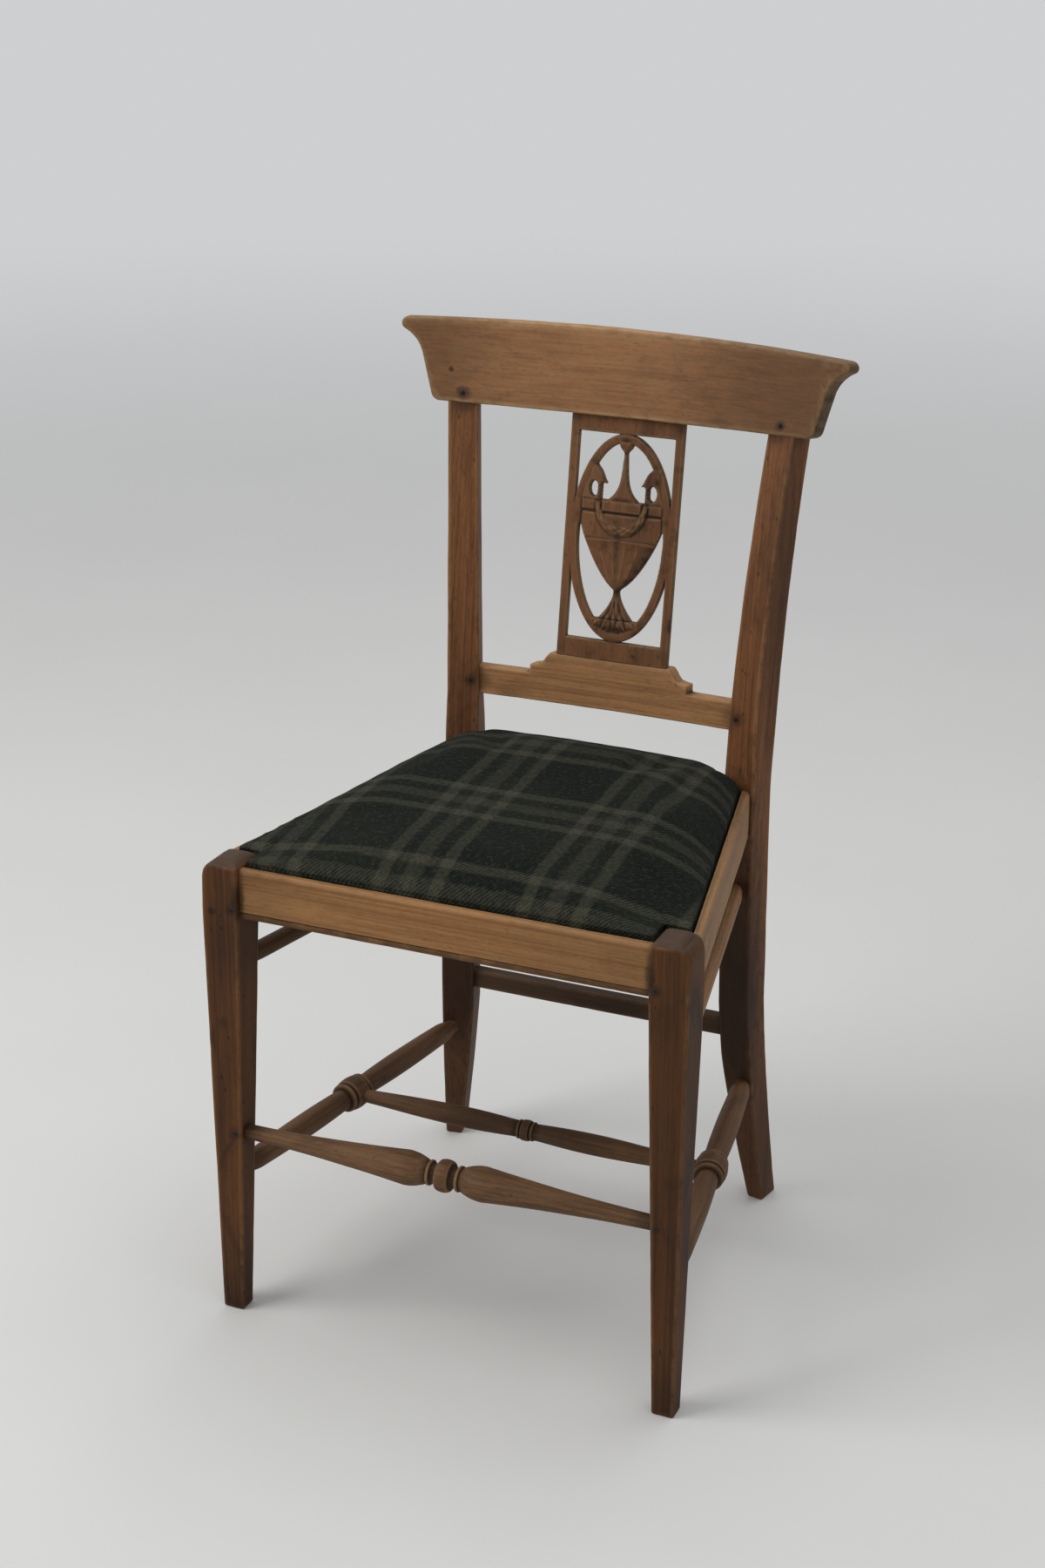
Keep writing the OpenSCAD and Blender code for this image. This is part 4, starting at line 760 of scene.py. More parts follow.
start = up_the_end(END_RISE)
cove = (start[0] + COVE_R * math.cos(LEAN), start[1] - COVE_R * math.sin(LEAN))
stop = (cove[0] + COVE_R * math.cos(COVE_STOP), cove[1] + COVE_R * math.sin(COVE_STOP))
nose_r = (CREST_H - stop[1]) / (1 + math.sin(COVE_STOP))
nose = (stop[0] + nose_r * math.cos(COVE_STOP), stop[1] + nose_r * math.sin(COVE_STOP))
reach = nose[0] + nose_r
right = arc_points(corner, CREST_ROUND, -math.pi / 2, -LEAN, 9)
right += [up_the_end(t) for t in (9, 18, 28)]
right += arc_points(cove, COVE_R, math.pi - LEAN, COVE_STOP, 14)
right += arc_points(nose, nose_r, COVE_STOP - math.pi, math.pi / 2, 12)[1:]


def crest_top(x):
    """How far the arched upper edge stands over the board's plain height."""
    return ARCH - ARCH_DROP * (x / CREST_HALF) ** 2 - ARCH_TILT * x / CREST_HALF


between = [(x, CREST_H) for x in np.arange(190, -191, -10)]
outline = []
for x, z in right + between + [(-x, z) for x, z in right[::-1]]:
    down = 1 - z / CREST_H
    wider = (RIGHT_WIDER if x > 0 else -LEFT_WIDER) * down
    outline.append((x + wider, CREST_BASE + z + z / CREST_H * crest_top(x) - down))
# The two wide marks toward the ends, the wider one on the right, are painted shade, and the end faces' very
# dark colour is partly painted shade; the small marks are a nail hole and dirt.
crest_finish = wood_finish(
    "crest_wood", pale=(144, 104, 69), deep=(122, 85, 55), edge=(176, 144, 104), grime_and_shade=(52, 37, 24),
    lines=0.25, marks=0.15, patches=0.25, ends=(44, 33, 24),
    stains_and_shade=[(158, 403, 792.7, 12, 0.75), (222, 400, 836, 130, 0.4)],
    spots=[(-171, 404, 814.5, 5, 0.85), (-171, 404, 814.5, 16, 0.3), (-115, 410, 857, 9, 0.4),
           (195, 400, 825, 200, 0.5)])
points, faces = plate(outline, lambda x: CREST_FRONT - curve_in(x),
                      lambda x: CREST_T - (CREST_T - CREST_END_T) * (x / reach) ** 2, 2.6,
                      [CREST_BASE + z for z in (4, 12, 22, 32, 42, 52, 62, 70)], splay=1.2)
up = (points[:, 1] - BACK_Y) * math.sin(RAKE) + (points[:, 2] - SEAT_H) * math.cos(RAKE) - CREST_BASE
from_top = CREST_H + crest_top(points[:, 0]) - up
wooden("crest_board", points, faces, (1, 0, 0), crest_finish, ["crest_rail"], seed=44,
       uneven=0.3, rubbed_and_highlight=0.75 * smooth(1.6 - from_top / 1.2))

# Splat
# The chair's finest work: a thin board pierced with a fretsaw into a frame and an oval
# band, and carved in low relief with an urn. It has a fluted bowl under a bead line, a
# rim and lid with a tall spire, a swag of beads, two beaked handles and a leafy foot.

SPLAT_W, SPLAT_T, SPLAT_FRONT, SPLAT_BASE, SPLAT_H = 113.6, 6.0, 4.5, 103.0, 233.0
STILE_W, HEAD_W, SILL_W, OVAL_W, SPLAT_ASIDE = 8.6, 17.0, 18.5, 8.5, 3.0  # it stands a little to the right
OVAL_Z, OVAL_A, OVAL_B = 117.25, 51.5, 99.35
SHOULDER_Z, RIM_Z, LID_Z, SPIRE_Z, NECK_Z, FOOT_Z = 127.75, 141.75, 153.25, 199.25, 67.75, 65.75
LINE_Z, LINE_HALF, RIM_A, STRING_X = 114.25, 1.8, 20.0, 24.0
EYE = (29.4, 162.85)
STRING_BEADS = [((STRING_X, LID_Z + 0.5 + 3.4 * k), 2.1) for k in range(5)]
SAG = 26.5                               # how deep the swag hangs


def inside_polygon(points, x, z):
    """Distance to a closed outline, less than 0 inside it."""
    points = np.asarray(points, float)
    best = np.full(x.shape, 1e9)
    odd = np.zeros(x.shape, bool)
    for p, q in zip(points, np.roll(points, -1, 0)):
        d = q - p
        t = np.clip(((x - p[0]) * d[0] + (z - p[1]) * d[1]) / max(d @ d, 1e-9), 0, 1)
        best = np.minimum(best, (x - p[0] - t * d[0]) ** 2 + (z - p[1] - t * d[1]) ** 2)
        if p[1] != q[1]:
            odd ^= ((z >= p[1]) != (z >= q[1])) & (x < p[0] + d[0] * (z - p[1]) / d[1])
    return np.where(odd, -1, 1) * np.sqrt(best)


def ellipse(a, b, cx=0.0, cz=0.0, n=96):
    """An oval outline from its half widths and its middle."""
    turns = [2 * math.pi * k / n for k in range(n)]
    return [(cx + a * math.cos(t), cz + b * math.sin(t)) for t in turns]


def body_x(z):
    """The urn's half width at a height, in its bowl."""
    t = np.clip((SHOULDER_Z - z) / 60, 0, 1)
    return np.maximum(2.7, (OVAL_A - OVAL_W - 2.3) * np.maximum(0, 1 - t ** 1.15) ** 0.66)


def spire_x(z):
    """The half width of the lid's spire."""
    t = np.clip((SPIRE_Z - z) / 46, 0, 1)
    return 1.3 + 3.2 * t + 11 * t ** 5.5


def flare_x(z):
    """The half width of the flared foot."""
    return 2.6 + 14.5 * np.clip((FOOT_Z - z) / 26, 0, 1) ** 1.6


def half_width(f, z0, z1):
    """The closed outline of a form from its half width between two heights."""
    return mirrored([(float(f(z)), z) for z in np.linspace(z0, z1, 24)])


GRID = 0.72
gx, gz = np.meshgrid(np.arange(-SPLAT_W / 2 - 1.5 * GRID, SPLAT_W / 2 + 2 * GRID, GRID),
                     np.arange(-1.5 * GRID, SPLAT_H + 2 * GRID, GRID))
ax = np.abs(gx)


def box_at(x0, x1, z0, z1):
    """Distance to an upright box."""
    return inside_polygon([(x0, z0), (x1, z0), (x1, z1), (x0, z1)], gx, gz)


oval_out = inside_polygon(ellipse(OVAL_A, OVAL_B, 0, OVAL_Z), gx, gz)
oval_in = inside_polygon(ellipse(OVAL_A - OVAL_W, OVAL_B - OVAL_W, 0, OVAL_Z), gx, gz)
board = np.maximum(box_at(-SPLAT_W / 2, SPLAT_W / 2, -1, SPLAT_H + 1),
                   -box_at(-SPLAT_W / 2 + STILE_W, SPLAT_W / 2 - STILE_W, SILL_W, SPLAT_H - HEAD_W))
band = np.maximum(oval_out, -oval_in)
bowl = inside_polygon(half_width(body_x, NECK_Z, SHOULDER_Z), gx, gz)
shoulder = np.maximum(oval_in - 1, box_at(-SPLAT_W, SPLAT_W, SHOULDER_Z - 0.5, LID_Z))
urn_foot = inside_polygon(half_width(flare_x, FOOT_Z - 26, FOOT_Z + 3), gx, gz)
base = np.maximum(oval_in - 1, gz - (FOOT_Z - 25.9))
spire = inside_polygon(half_width(spire_x, LID_Z - 1, SPIRE_Z), gx, gz)
drop = inside_polygon(mirrored([(x, SPIRE_Z + z) for x, z in (
    (1.1, -1.5), (2.6, 0.8), (4.6, 2.8), (6.0, 4.9), (6.7, 7), (6.8, 9.5), (6.2, 13))]), gx, gz)
beak = inside_polygon([(x, EYE[1] + z) for x, z in (
    (32, 28), (29.7, 24.4), (26.6, 21.2), (23.4, 17.4), (21.4, 13.6), (19.8, 9.9), (17.0, 5.2), (20, 6.2),
    (22.1, 4.6), (22.3, -11), (44.2, -11), (42, 2), (39, 14), (35.5, 25))], ax, gz)
eye = inside_polygon(ellipse(4.3, 7.2, *EYE, 40), ax, gz)
beak = np.maximum(beak, -eye)
beads = np.min([np.hypot(ax - x, gz - z) - r for (x, z), r in STRING_BEADS], 0)
cut = np.min([board, band, bowl, shoulder, urn_foot, base, spire, drop, beak, beads], 0)


def dome(inside, rise, wide):
    """A rounded rise that starts at a form's edge and is full at a distance inside it."""
    t = np.clip(-inside / wide, 0, 1)
    return rise * np.sqrt(np.maximum(0, 1 - (1 - t) ** 2))


def oval_hump(u, w):
    """A round rise that is 1 in the middle and ends where u and w together reach 1."""
    return np.sqrt(np.maximum(0, 1 - u * u - w * w))


# the oval band, rounded, fading into the head and the sill
band_edges = np.maximum(np.where(ax > 40, -99.0, oval_out), -oval_in)
carved = dome(np.where(band < 0.5, band_edges, 1), 0.9, OVAL_W / 2)
carved = 0.7 + carved * smooth((SPLAT_H - HEAD_W + 3 - gz) / 6) * smooth((gz - SILL_W + 3) / 6) * smooth(
    (SPLAT_W / 2 - STILE_W + 1.5 - ax) / 5)
carved = np.where(np.minimum(board, band) < 0.5, carved, 0)
# the bowl, with five flutes below a bead line, and the plain band above it
share = np.clip(ax / np.maximum(body_x(gz), 2), 0, 1)
round_bowl = 3.2 * np.sqrt(np.maximum(0, 1 - share ** 2.4))
angle = np.degrees(np.arctan2(gx, gz - (NECK_Z - 16)))
flutes = 1.3 * np.abs(np.cos(np.pi * angle / 12.5)) ** 0.7
flutes *= smooth((LINE_Z - 2 - gz) / 6) * smooth((gz - NECK_Z - 4) / 14)
carved = np.where(bowl < 0, np.maximum(carved, round_bowl - flutes - 0.5 * (gz >= LINE_Z)), carved)
bead_line = round_bowl + 0.35 * oval_hump((gz - LINE_Z) / LINE_HALF, 0)
carved = np.where((bowl < 0) & (np.abs(gz - LINE_Z) < LINE_HALF), np.maximum(carved, bead_line), carved)
drum = (ax < 40.5) & (gz > LINE_Z + 2.4) & (gz < RIM_Z - 1.2) & (np.minimum(shoulder, bowl) < 0)
carved = np.where(drum, np.maximum(0.5, 2.8 * np.sqrt(np.maximum(0, 1 - (ax / 41) ** 3)) - 0.2), carved)
# the shoulder's end blocks, the rim and the lid with its spire
block = np.minimum.reduce([ax - STRING_X - 2.6, OVAL_A - OVAL_W - 2.4 - ax, gz - RIM_Z - 0.6,
                           LID_Z - 0.6 - gz])
carved = np.where((shoulder < 0) & (block > 0), 1.5 + 1.1 * np.sqrt(np.clip(block / 2.4, 0, 1)), carved)
rim = np.minimum.reduce([gz - RIM_Z, LID_Z - gz, RIM_A - ax])
carved = np.where(rim > 0, 2.2 + 1.3 * np.sqrt(np.clip(rim / 2.2, 0, 1)), carved)
carved = np.where((spire < 0) & (gz > LID_Z), dome(spire, 2.6, 4.5), carved)
carved = np.where((drop < 0) & (gz < SPIRE_Z + 10), np.maximum(carved, dome(drop, 3.4, 6)), carved)
# the handles, beaked leaves with a rolled edge round the eye
vein = np.exp(-((ax - 27 - 0.55 * (gz - EYE[1] - 14)) / 1.1) ** 2) * smooth((gz - EYE[1] - 7) / 3)
carved = np.where((beak < 0) & (band > -1), np.maximum(carved, dome(beak, 2.0, 3.4) - 0.5 * vein), carved)
carved = np.where((beak < 0) & (np.abs(eye - 1.3) < 1.1), np.maximum(carved, 1.9), carved)
# the foot, a ribbed cone spreading into leaves that curl out to a scroll at each side
fan = np.degrees(np.arctan2(ax, FOOT_Z + 2 - gz))
ribs = 1.7 * np.abs(np.cos(np.pi * fan / 17)) ** 2 * smooth((FOOT_Z - 4 - gz) / 8)
foot_rise = 0.6 + dome(np.minimum(urn_foot, base), 2.6, 7) * smooth((gz - FOOT_Z + 39) / 7) - ribs
carved = np.where((urn_foot < 0) | ((base < 0) & (gz > FOOT_Z - 38) & (ax < 22)),
                  np.maximum(carved, foot_rise), carved)
for lean, px, pz, wide, high in ((0, 0, -24, 2.6, 12), (24, -7.5, -27, 2.4, 10), (-24, 7.5, -27, 2.4, 10),
                                 (60, -16, -29, 2.6, 6), (-60, 16, -29, 2.6, 6)):
    a = math.radians(lean)
    petal = oval_hump(((gx - px) * math.cos(a) - (gz - FOOT_Z - pz) * math.sin(a)) / wide,
                      ((gx - px) * math.sin(a) + (gz - FOOT_Z - pz) * math.cos(a)) / high)
    carved = np.maximum(carved, np.where((petal > 0) & (cut < 0), 1.0 + 2.2 * petal, 0))
# the swag, a thick rope of husks hung from a string of beads at each handle
along, down = gx / STRING_X, (LID_Z - 2 - gz) / SAG
hang = np.arctan2(along, down)
off = (np.hypot(along, down) - 1) * np.hypot(STRING_X * np.sin(hang), SAG * np.cos(hang))
thick = 2.5 + 3.0 * np.maximum(0, np.cos(hang)) ** 1.4
on_rope = (np.abs(off) < thick) & (gz < LID_Z - 2)
husks = np.cos(15 * hang + 1.4 * off / thick * np.sign(hang) + 0.5 * np.sin(5 * hang)) * np.cos(1.1 * off)
rope = oval_hump(off / thick, 0) * (0.78 + 0.22 * husks)
carved = np.where(on_rope, np.maximum(carved, 1.8 + 2.9 * rope), carved)
for (x, z), r in STRING_BEADS:
    carved = np.maximum(carved, 1.2 * r * oval_hump((ax - x) / r, (gz - z) / r))
carved = np.where(cut > 0, 0, carved)


def blur(field, times):
    """A field over a grid, with each value mixed a few times with its four neighbours."""
    for _ in range(times):
        field = (4 * field + np.roll(field, 1, 0) + np.roll(field, -1, 0) + np.roll(field, 1, 1)
                 + np.roll(field, -1, 1)) / 8
    return field


# dirt in the hollows and at places that a cloth doesn't reach, painted shade under the rope and down the
# right side, and painted highlights on the rope, the left handle and the foot's scrolls
carved = np.where(cut > 0, 0, blur(carved, 3))
soot_and_shade = 0.75 * smooth((blur(carved, 14) - carved - 0.12) / 1.0) * (cut < 0.5)
for x, z, wide, high, strength in (
        (0, NECK_Z - 1, 7, 5, 0.85), (0, SPIRE_Z + 12, 8, 2.2, 0.85), (0, LID_Z + 1.6, 15, 1.8, 0.65),
        (0, SPIRE_Z, 3, 1.6, 0.6), (31, EYE[1] + 26, 3, 3, 0.8), (33, EYE[1] + 11, 2.2, 2, 0.7),
        (45, RIM_Z - 4, 2.6, 3, 0.7), (0, FOOT_Z - 35, 14, 4.5, 0.85), (12, FOOT_Z - 29, 4, 4, 0.6),
        (4, FOOT_Z - 20, 1.5, 10, 0.65), (23.5, LID_Z - 1, 2.4, 3.5, 0.7), (0, RIM_Z - 1, 20, 1.2, 0.65),
        (0, LINE_Z, 22, 2.2, 0.4), (0, 95, 6, 20, 0.35), (0, SILL_W + 1, 16, 2.5, 0.5), (0, 127, 13, 9, 0.45),
        (53, 8, 5, 9, 0.45), (56, 40, 4, 14, 0.3), (52, 226, 5, 5, 0.35), (22, 6, 7, 6, 0.3),
        (0, NECK_Z + 6, 4, 8, 0.5)):
    soot_and_shade = np.maximum(soot_and_shade, strength * np.exp(-((ax - x) / wide) ** 2 - ((gz - z) / high) ** 2))
# a painted shadow just under the rope
rope_shadow = smooth((off - thick + 1.2) / 1.2) * smooth((thick + 2.6 - off) / 2.0) * (gz < LID_Z - 4)
# painted shade down the right side of the handle, the bowl and the foot
in_shade = 0.55 * np.exp(-((gx - 27) / 8) ** 2 - ((gz - EYE[1] - 10) / 12) ** 2)
bowl_side = 0.75 * np.exp(-((gx - body_x(gz) + 2) / 7) ** 2)
in_shade = np.maximum(in_shade, bowl_side * (bowl < 0) * (gz < LINE_Z - 2))
in_shade = np.maximum(in_shade, 0.5 * smooth((gx - 2) / 12) * (urn_foot < 0))
soot_and_shade = np.where(cut < 0, np.maximum.reduce([soot_and_shade, 0.75 * rope_shadow, in_shade]), soot_and_shade)
cloudy = np.array([noise.noise(Vector((a / 9, b / 9, 5.5)))
                   + 0.6 * noise.noise(Vector((a / 3.5, b / 3.5, 2.5)))
                   for a, b in zip(gx.ravel(), gz.ravel())]).reshape(gx.shape)
soot_and_shade = np.clip(soot_and_shade * (1 + 0.7 * cloudy) + 0.35 * smooth((cloudy - 0.25) / 0.5), 0, 1)
# painted highlights on the rope's husks, the left handle and the scrolls of the foot, with less of the
# darkening there
painted_highlight = np.where(on_rope, smooth((rope - 0.55) / 0.35) * smooth((husks + 0.4) / 0.9), 0)
painted_highlight = np.maximum(painted_highlight, 0.5 * smooth(-beak / 3) * (gx < 0) * (band > -1) * smooth((eye - 1) / 2))
painted_highlight = np.maximum(painted_highlight, 0.5 * (np.hypot((ax - 16) / 5, (gz - FOOT_Z + 29) / 3) < 1))
soot_and_shade = soot_and_shade * (1 - 0.8 * painted_highlight)


def fretted(cut, height, back, gx, gz, ease=0.9):
    """A board over a grid, pierced where the cut is over 0: its front follows height, its edges are
    eased, and its sides follow the cut. Gives its points and faces, and for each point of its front
    the row and column that it was made from."""
    slope_z, slope_x = np.gradient(cut, gz[:, 0], gx[0])
    close = np.abs(cut) < 0.35 * (gx[0, 1] - gx[0, 0])
    px = np.where(close, gx - cut * slope_x, gx)
    pz = np.where(close, gz - cut * slope_z, gz)
    value = np.where(close, 0.0, cut)
    back = np.broadcast_to(back, cut.shape)
    kept, spots, depth, source = {}, [], [], []

    def point(i, j):
        """The number of a grid point, kept the first time that it is asked for."""
        if (i, j) not in kept:
            kept[i, j] = len(spots)
            spots.append((px[i, j], pz[i, j]))
            depth.append((height[i, j], value[i, j], back[i, j]))
            source.append((i, j))
        return kept[i, j]

    def between(a, b):
        """The number of the point where the cut's edge crosses from one grid point to the next."""
        key = (min(a, b), max(a, b))
        if key not in kept:
            va, vb = value[a], value[b]
            t = va / (va - vb)
            kept[key] = len(spots)
            spots.append((px[a] + (px[b] - px[a]) * t, pz[a] + (pz[b] - pz[a]) * t))
            inside = a if va < 0 else b
            depth.append((height[inside], 0.0, back[inside]))
            source.append(inside)
        return kept[key]

    faces = []
    lowest = np.minimum.reduce([value[:-1, :-1], value[1:, :-1], value[:-1, 1:], value[1:, 1:]])
    for i, j in zip(*np.nonzero(lowest < 0)):
        loop = [(i, j), (i, j + 1), (i + 1, j + 1), (i + 1, j)]
        face = []
        for k, a in enumerate(loop):
            b = loop[(k + 1) % 4]
            if value[a] <= 0:
                face.append(point(*a))
            if value[a] * value[b] < 0:
                face.append(between(a, b))
        if len(set(face)) > 2:
            faces.append(face)
    spots, depth = np.array(spots), np.array(depth)
    drop = ease - np.sqrt(np.maximum(0, ease ** 2 - np.maximum(0, ease + depth[:, 1]) ** 2))
    n = len(spots)
    front = np.column_stack([spots[:, 0], -(depth[:, 0] - drop), spots[:, 1]])
    rear = np.column_stack([spots[:, 0], depth[:, 2] - drop, spots[:, 1]])
    once = {}
    for face in faces:
        for a, b in zip(face, face[1:] + face[:1]):
            if (b, a) in once:
                del once[b, a]
            else:
                once[a, b] = True
    faces += [[v + n for v in f[::-1]] for f in faces]
    walls = [[a, a + n, b + n, b] for a, b in once]
    return np.concatenate([front, rear]), faces + walls, np.array(source)


points, faces, source = fretted(cut, carved, SPLAT_T, gx, gz)
# the front takes the dirt, the painted shade and the painted highlights; the back takes none
sooty_and_shaded, highlighted = soot_and_shade[source[:, 0], source[:, 1]], painted_highlight[source[:, 0], source[:, 1]]
points = back_place(points[:, 0] + SPLAT_ASIDE, SPLAT_FRONT + points[:, 1], SPLAT_BASE + points[:, 2])
splat_finish = wood_finish("carved_wood", pale=(112, 75, 46), deep=(90, 59, 36), edge=(122, 96, 68),
                           grime_and_shade=(34, 32, 22), lines=0.08, marks=0.0, patches=0.55)
wooden("carved_splat", points, faces, (0, math.sin(RAKE), math.cos(RAKE)), splat_finish,
       ["splat"], seed=51, uneven=0.1, dents=0.0, crisp=60, soot_and_shade=np.concatenate([sooty_and_shaded, 0 * sooty_and_shaded]),
       rubbed_and_highlight=np.concatenate([highlighted, 0 * highlighted]))

# Pegs
# Riven pins of darker wood, driven through the tenons from the front and cut off
# almost flush: two each in the crest, the mid rail, the front rail's and the front
# stretcher's joints. Their end grain has drunk the dirt and is nearly black.

PEG_SHAPE = ((-0.35, 1.0), (-0.25, 2.2), (0.0, 3.0), (0.35, 3.35), (1.5, 3.4), (12.0, 3.4))  # depth, radius
PEG_EDGE = 9.0                           # from the posts' inner faces
peg_finish = wood_finish("peg_wood", pale=(48, 34, 24), deep=(26, 20, 15), edge=(58, 42, 30), lines=0.2,
                         patches=0.5)


def pegs(name, node, place, way, seed):
    """A pair of pegs. place is where the right one's face is, and way the direction into the wood."""
    place, way = np.array(place, float), np.array(way, float)
    way /= np.linalg.norm(way)
    up = np.array([0, 0, 1.0]) - way * way[2]
    up /= np.linalg.norm(up)
    out = np.cross(way, up)
    turn = np.linspace(0, 2 * math.pi, 18, endpoint=False)
    shape = 1 + 0.05 * np.cos(3 * turn + seed) + 0.03 * np.cos(5 * turn)  # whittled, not quite round
    round_way = np.cos(turn)[:, None] * out + np.sin(turn)[:, None] * up
    rings = [place + way * d + (r * shape)[:, None] * round_way for d, r in PEG_SHAPE]
    points, faces = skin(rings)
    n = len(points)
    both = np.concatenate([points, points * (-1, 1, 1)])
    wooden(name, both, faces + [[v + n for v in f] for f in faces], way, peg_finish, [node],
           seed=seed, uneven=0.0, dents=0.0)


leg_in = LEG_X - LEG_W
pegs("front_rail_joint_pegs", "front_rail_pegs", (leg_in + 6, 0, RAIL_Z + 9), (0, 1, 0), 61)
z = FRONT_STR_Z + 3
pegs("front_stretcher_joint_pegs", "front_stretcher_pegs",
     (leg_ring(FRONT_STR_Z)[:, 0].min() + 6, FOOT_IN / 2 * (1 - z / RAIL_Z), z), (0, 1, 0), 62)
z = SEAT_H + (MID_BASE + MID_H / 2) * math.cos(RAKE)
out, wide, front, _ = post_box(z)
pegs("mid_rail_joint_pegs", "mid_rail_pegs", (*on_post(out - wide + PEG_EDGE, front, z), z),
     (math.sin(TOE), math.cos(TOE), 0), 63)
out, wide, front, _ = post_box(CREST_Z)
x = on_post(out - wide / 2, front, CREST_Z)[0]
face, turn, up = CREST_FRONT - curve_in(x), math.asin(x / BACK_R), CREST_BASE + 8
place, deeper = back_place(np.array([x, x + math.sin(turn)]), np.array([face, face + math.cos(turn)]),
                           np.array([up, up]))
pegs("crest_joint_pegs", "crest_pegs", place, deeper - place, 64)

# Seat frame
# The drop-in seat's own frame: four plain boards of pale softwood, the front and back ones
# fitted between the sides, rough where nobody looks. It lifts out of the rebate.

SEAT_GAP, CLOTH_T, FRAME_W, REST_GAP = 2.0, 1.4, 45.0, 0.05
FRAME_GAP = SEAT_GAP + CLOTH_T
FRAME_Z = LEDGE_Z + REST_GAP + CLOTH_T
SEAT_BACK_Y = REAR_RAIL_Y + REAR_LEDGE
frame_finish = wood_finish(
    "seat_frame_wood", pale=(176, 150, 112), deep=(142, 114, 80), edge=(190, 166, 130), grime_and_shade=(90, 72, 52),
    lines=0.5, marks=0.3, patches=0.3, gloss=0.8)


def line_x(off, y):
    """The x of a line set in from the side rail's outer face, at y."""
    return RAIL_X0 - off / math.cos(RAIL_ANGLE) - (y - LEG_D) * math.tan(RAIL_ANGLE)


def line_end(off, ahead):
    """Where that line ends, a length ahead of the post's front face."""
    y = (POST_Y - ahead / math.cos(TOE) + (POST_X - line_x(off, 0)) * math.tan(TOE)) / (
        1 - math.tan(RAIL_ANGLE) * math.tan(TOE))
    return line_x(off, y), y


def seat_plan(gap):
    """The drop-in seat's outline in plan, a gap inside the rebate's walls, the legs and the posts."""
    x0, y0, off, xn = leg_in - gap, LEG_D + gap, LIP + gap, CORNER_X - gap
    half = [(x0, RAIL_SET + LIP + gap), (x0, y0), (line_x(off, y0), y0), line_end(off, gap),
            (xn, POST_Y - gap / math.cos(TOE) + (POST_X - xn) * math.tan(TOE)), (xn, SEAT_BACK_Y - gap)]
    return half + [(-x, y) for x, y in half[::-1]]


def twice_area(plan):
    """Twice the area in a closed outline, less than 0 where it runs clockwise."""
    return np.sum(plan[:, 0] * np.roll(plan[:, 1], -1) - np.roll(plan[:, 0], -1) * plan[:, 1])


def frame_board(where, plan, along, seed):
    """A board of the seat's frame with eased edges, from its outline in plan."""
    plan = np.asarray(plan, float)
    plan = plan if twice_area(plan) > 0 else plan[::-1]
    inward, ease = corner_ways(plan, 0.5), 0.9
    rings = [level_ring(plan + inward * inset, z) for z, inset in (
        (FRAME_Z, ease), (FRAME_Z + 0.3 * ease, 0.3 * ease), (FRAME_Z + ease, 0),
        (SEAT_H - ease, 0), (SEAT_H - 0.3 * ease, 0.3 * ease), (SEAT_H, ease))]
    points, faces = skin(rings)
    wooden(f"{where}_seat_frame_board", points, faces, along, frame_finish,
           [f"seat_frame_{where}"], "drop_in_seat", seed, uneven=0.0, dents=0.0)


half = seat_plan(FRAME_GAP)[:6]
inner_off = LIP + FRAME_GAP + FRAME_W
front_y, back_y = half[0][1], half[5][1]
inner_back = line_x(inner_off, back_y)
outer_corners = half[:6] if inner_back < half[5][0] else half[:5]
side_plan = [(line_x(inner_off, front_y), front_y), *outer_corners, (inner_back, back_y)]
for s, side in SIDES:
    frame_board(side, [(x * s, y) for x, y in side_plan], (run[0] * s, run[1], 0), 71 + s)
for where, y0, y1 in (("front", front_y, front_y + FRAME_W), ("back", back_y - FRAME_W, back_y)):
    x0, x1 = line_x(inner_off, y0), line_x(inner_off, y1)
    frame_board(where, [(-x0, y0), (x0, y0), (x1, y1), (-x1, y1)], (1, 0, 0), 75)

# Webbing and hessian
# Three jute straps run from front to back, and three from side to side lie across them, all
# tacked on top of the frame. A sheet of hessian lies over them to hold the stuffing.

WEB_T, STRAP_W, WEB_IN, HESSIAN_T, HESSIAN_IN = 1.2, 50.0, 12.0, 0.8, 6.0
LONG_APART, CROSS_APART, CROSS_FIRST = 88, 96, 40


def woven_finish(name, pale, deep, pitch, stripe=None):
    """A plain weave of coarse yarn, over and under at a pitch in metres."""
    stuff = bpy.data.materials.new(name)
    tree = bare(stuff)
    place = stored(tree, "cloth", "Vector")
    xyz = put(tree, "SeparateXYZ", i0=place)
    waves = []
    for k in (0, 1):
        wobble = speckle(tree, place, (60, 60, 60), 2.0)
        at = sums(tree, "MULTIPLY_ADD", wobble, pitch * 0.8, xyz.outputs[k])
        waves.append(sums(tree, "SINE", sums(tree, "MULTIPLY", at, 2 * math.pi / pitch)))
    weave = sums(tree, "MULTIPLY", waves[0], waves[1])
    rough = speckle(tree, place, (700, 700, 700), 3.0)
    tone = sums(tree, "MULTIPLY_ADD", weave, 0.35, rough)
    colour = blended(tree, ramped(tree, tone, 0.15, 0.85), paint(*deep), paint(*pale))
    if stripe:
        lines = sums(tree, "PINGPONG", xyz.outputs[2], 0.018)
        colour = blended(tree, ramped(tree, lines, 0.0145, 0.0155, 0, 0.8), colour, paint(*stripe))
    relief = put(tree, "Bump", Strength=0.8, Distance=0.0006, Height=weave).outputs[0]
    surface(tree, colour, 0.92, relief, 0.15)
    return stuff


def seat_piece(name, points, faces, cloth, finish):
    """A piece that rides on the seat. cloth is where its points lie in the flat cloth, in mm."""
    mesh = meshed(name, np.asarray(points, float) * 0.001 + (0, FRONT, 0), faces)
    keep(mesh, "cloth", np.asarray(cloth, float) * 0.001)
    mesh.shade_smooth()
    mesh.set_sharp_from_angle(angle=math.radians(50))
    mesh.materials.append(finish)
    piece = into_scene(name, mesh)
    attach(piece, "drop_in_seat")
    return piece


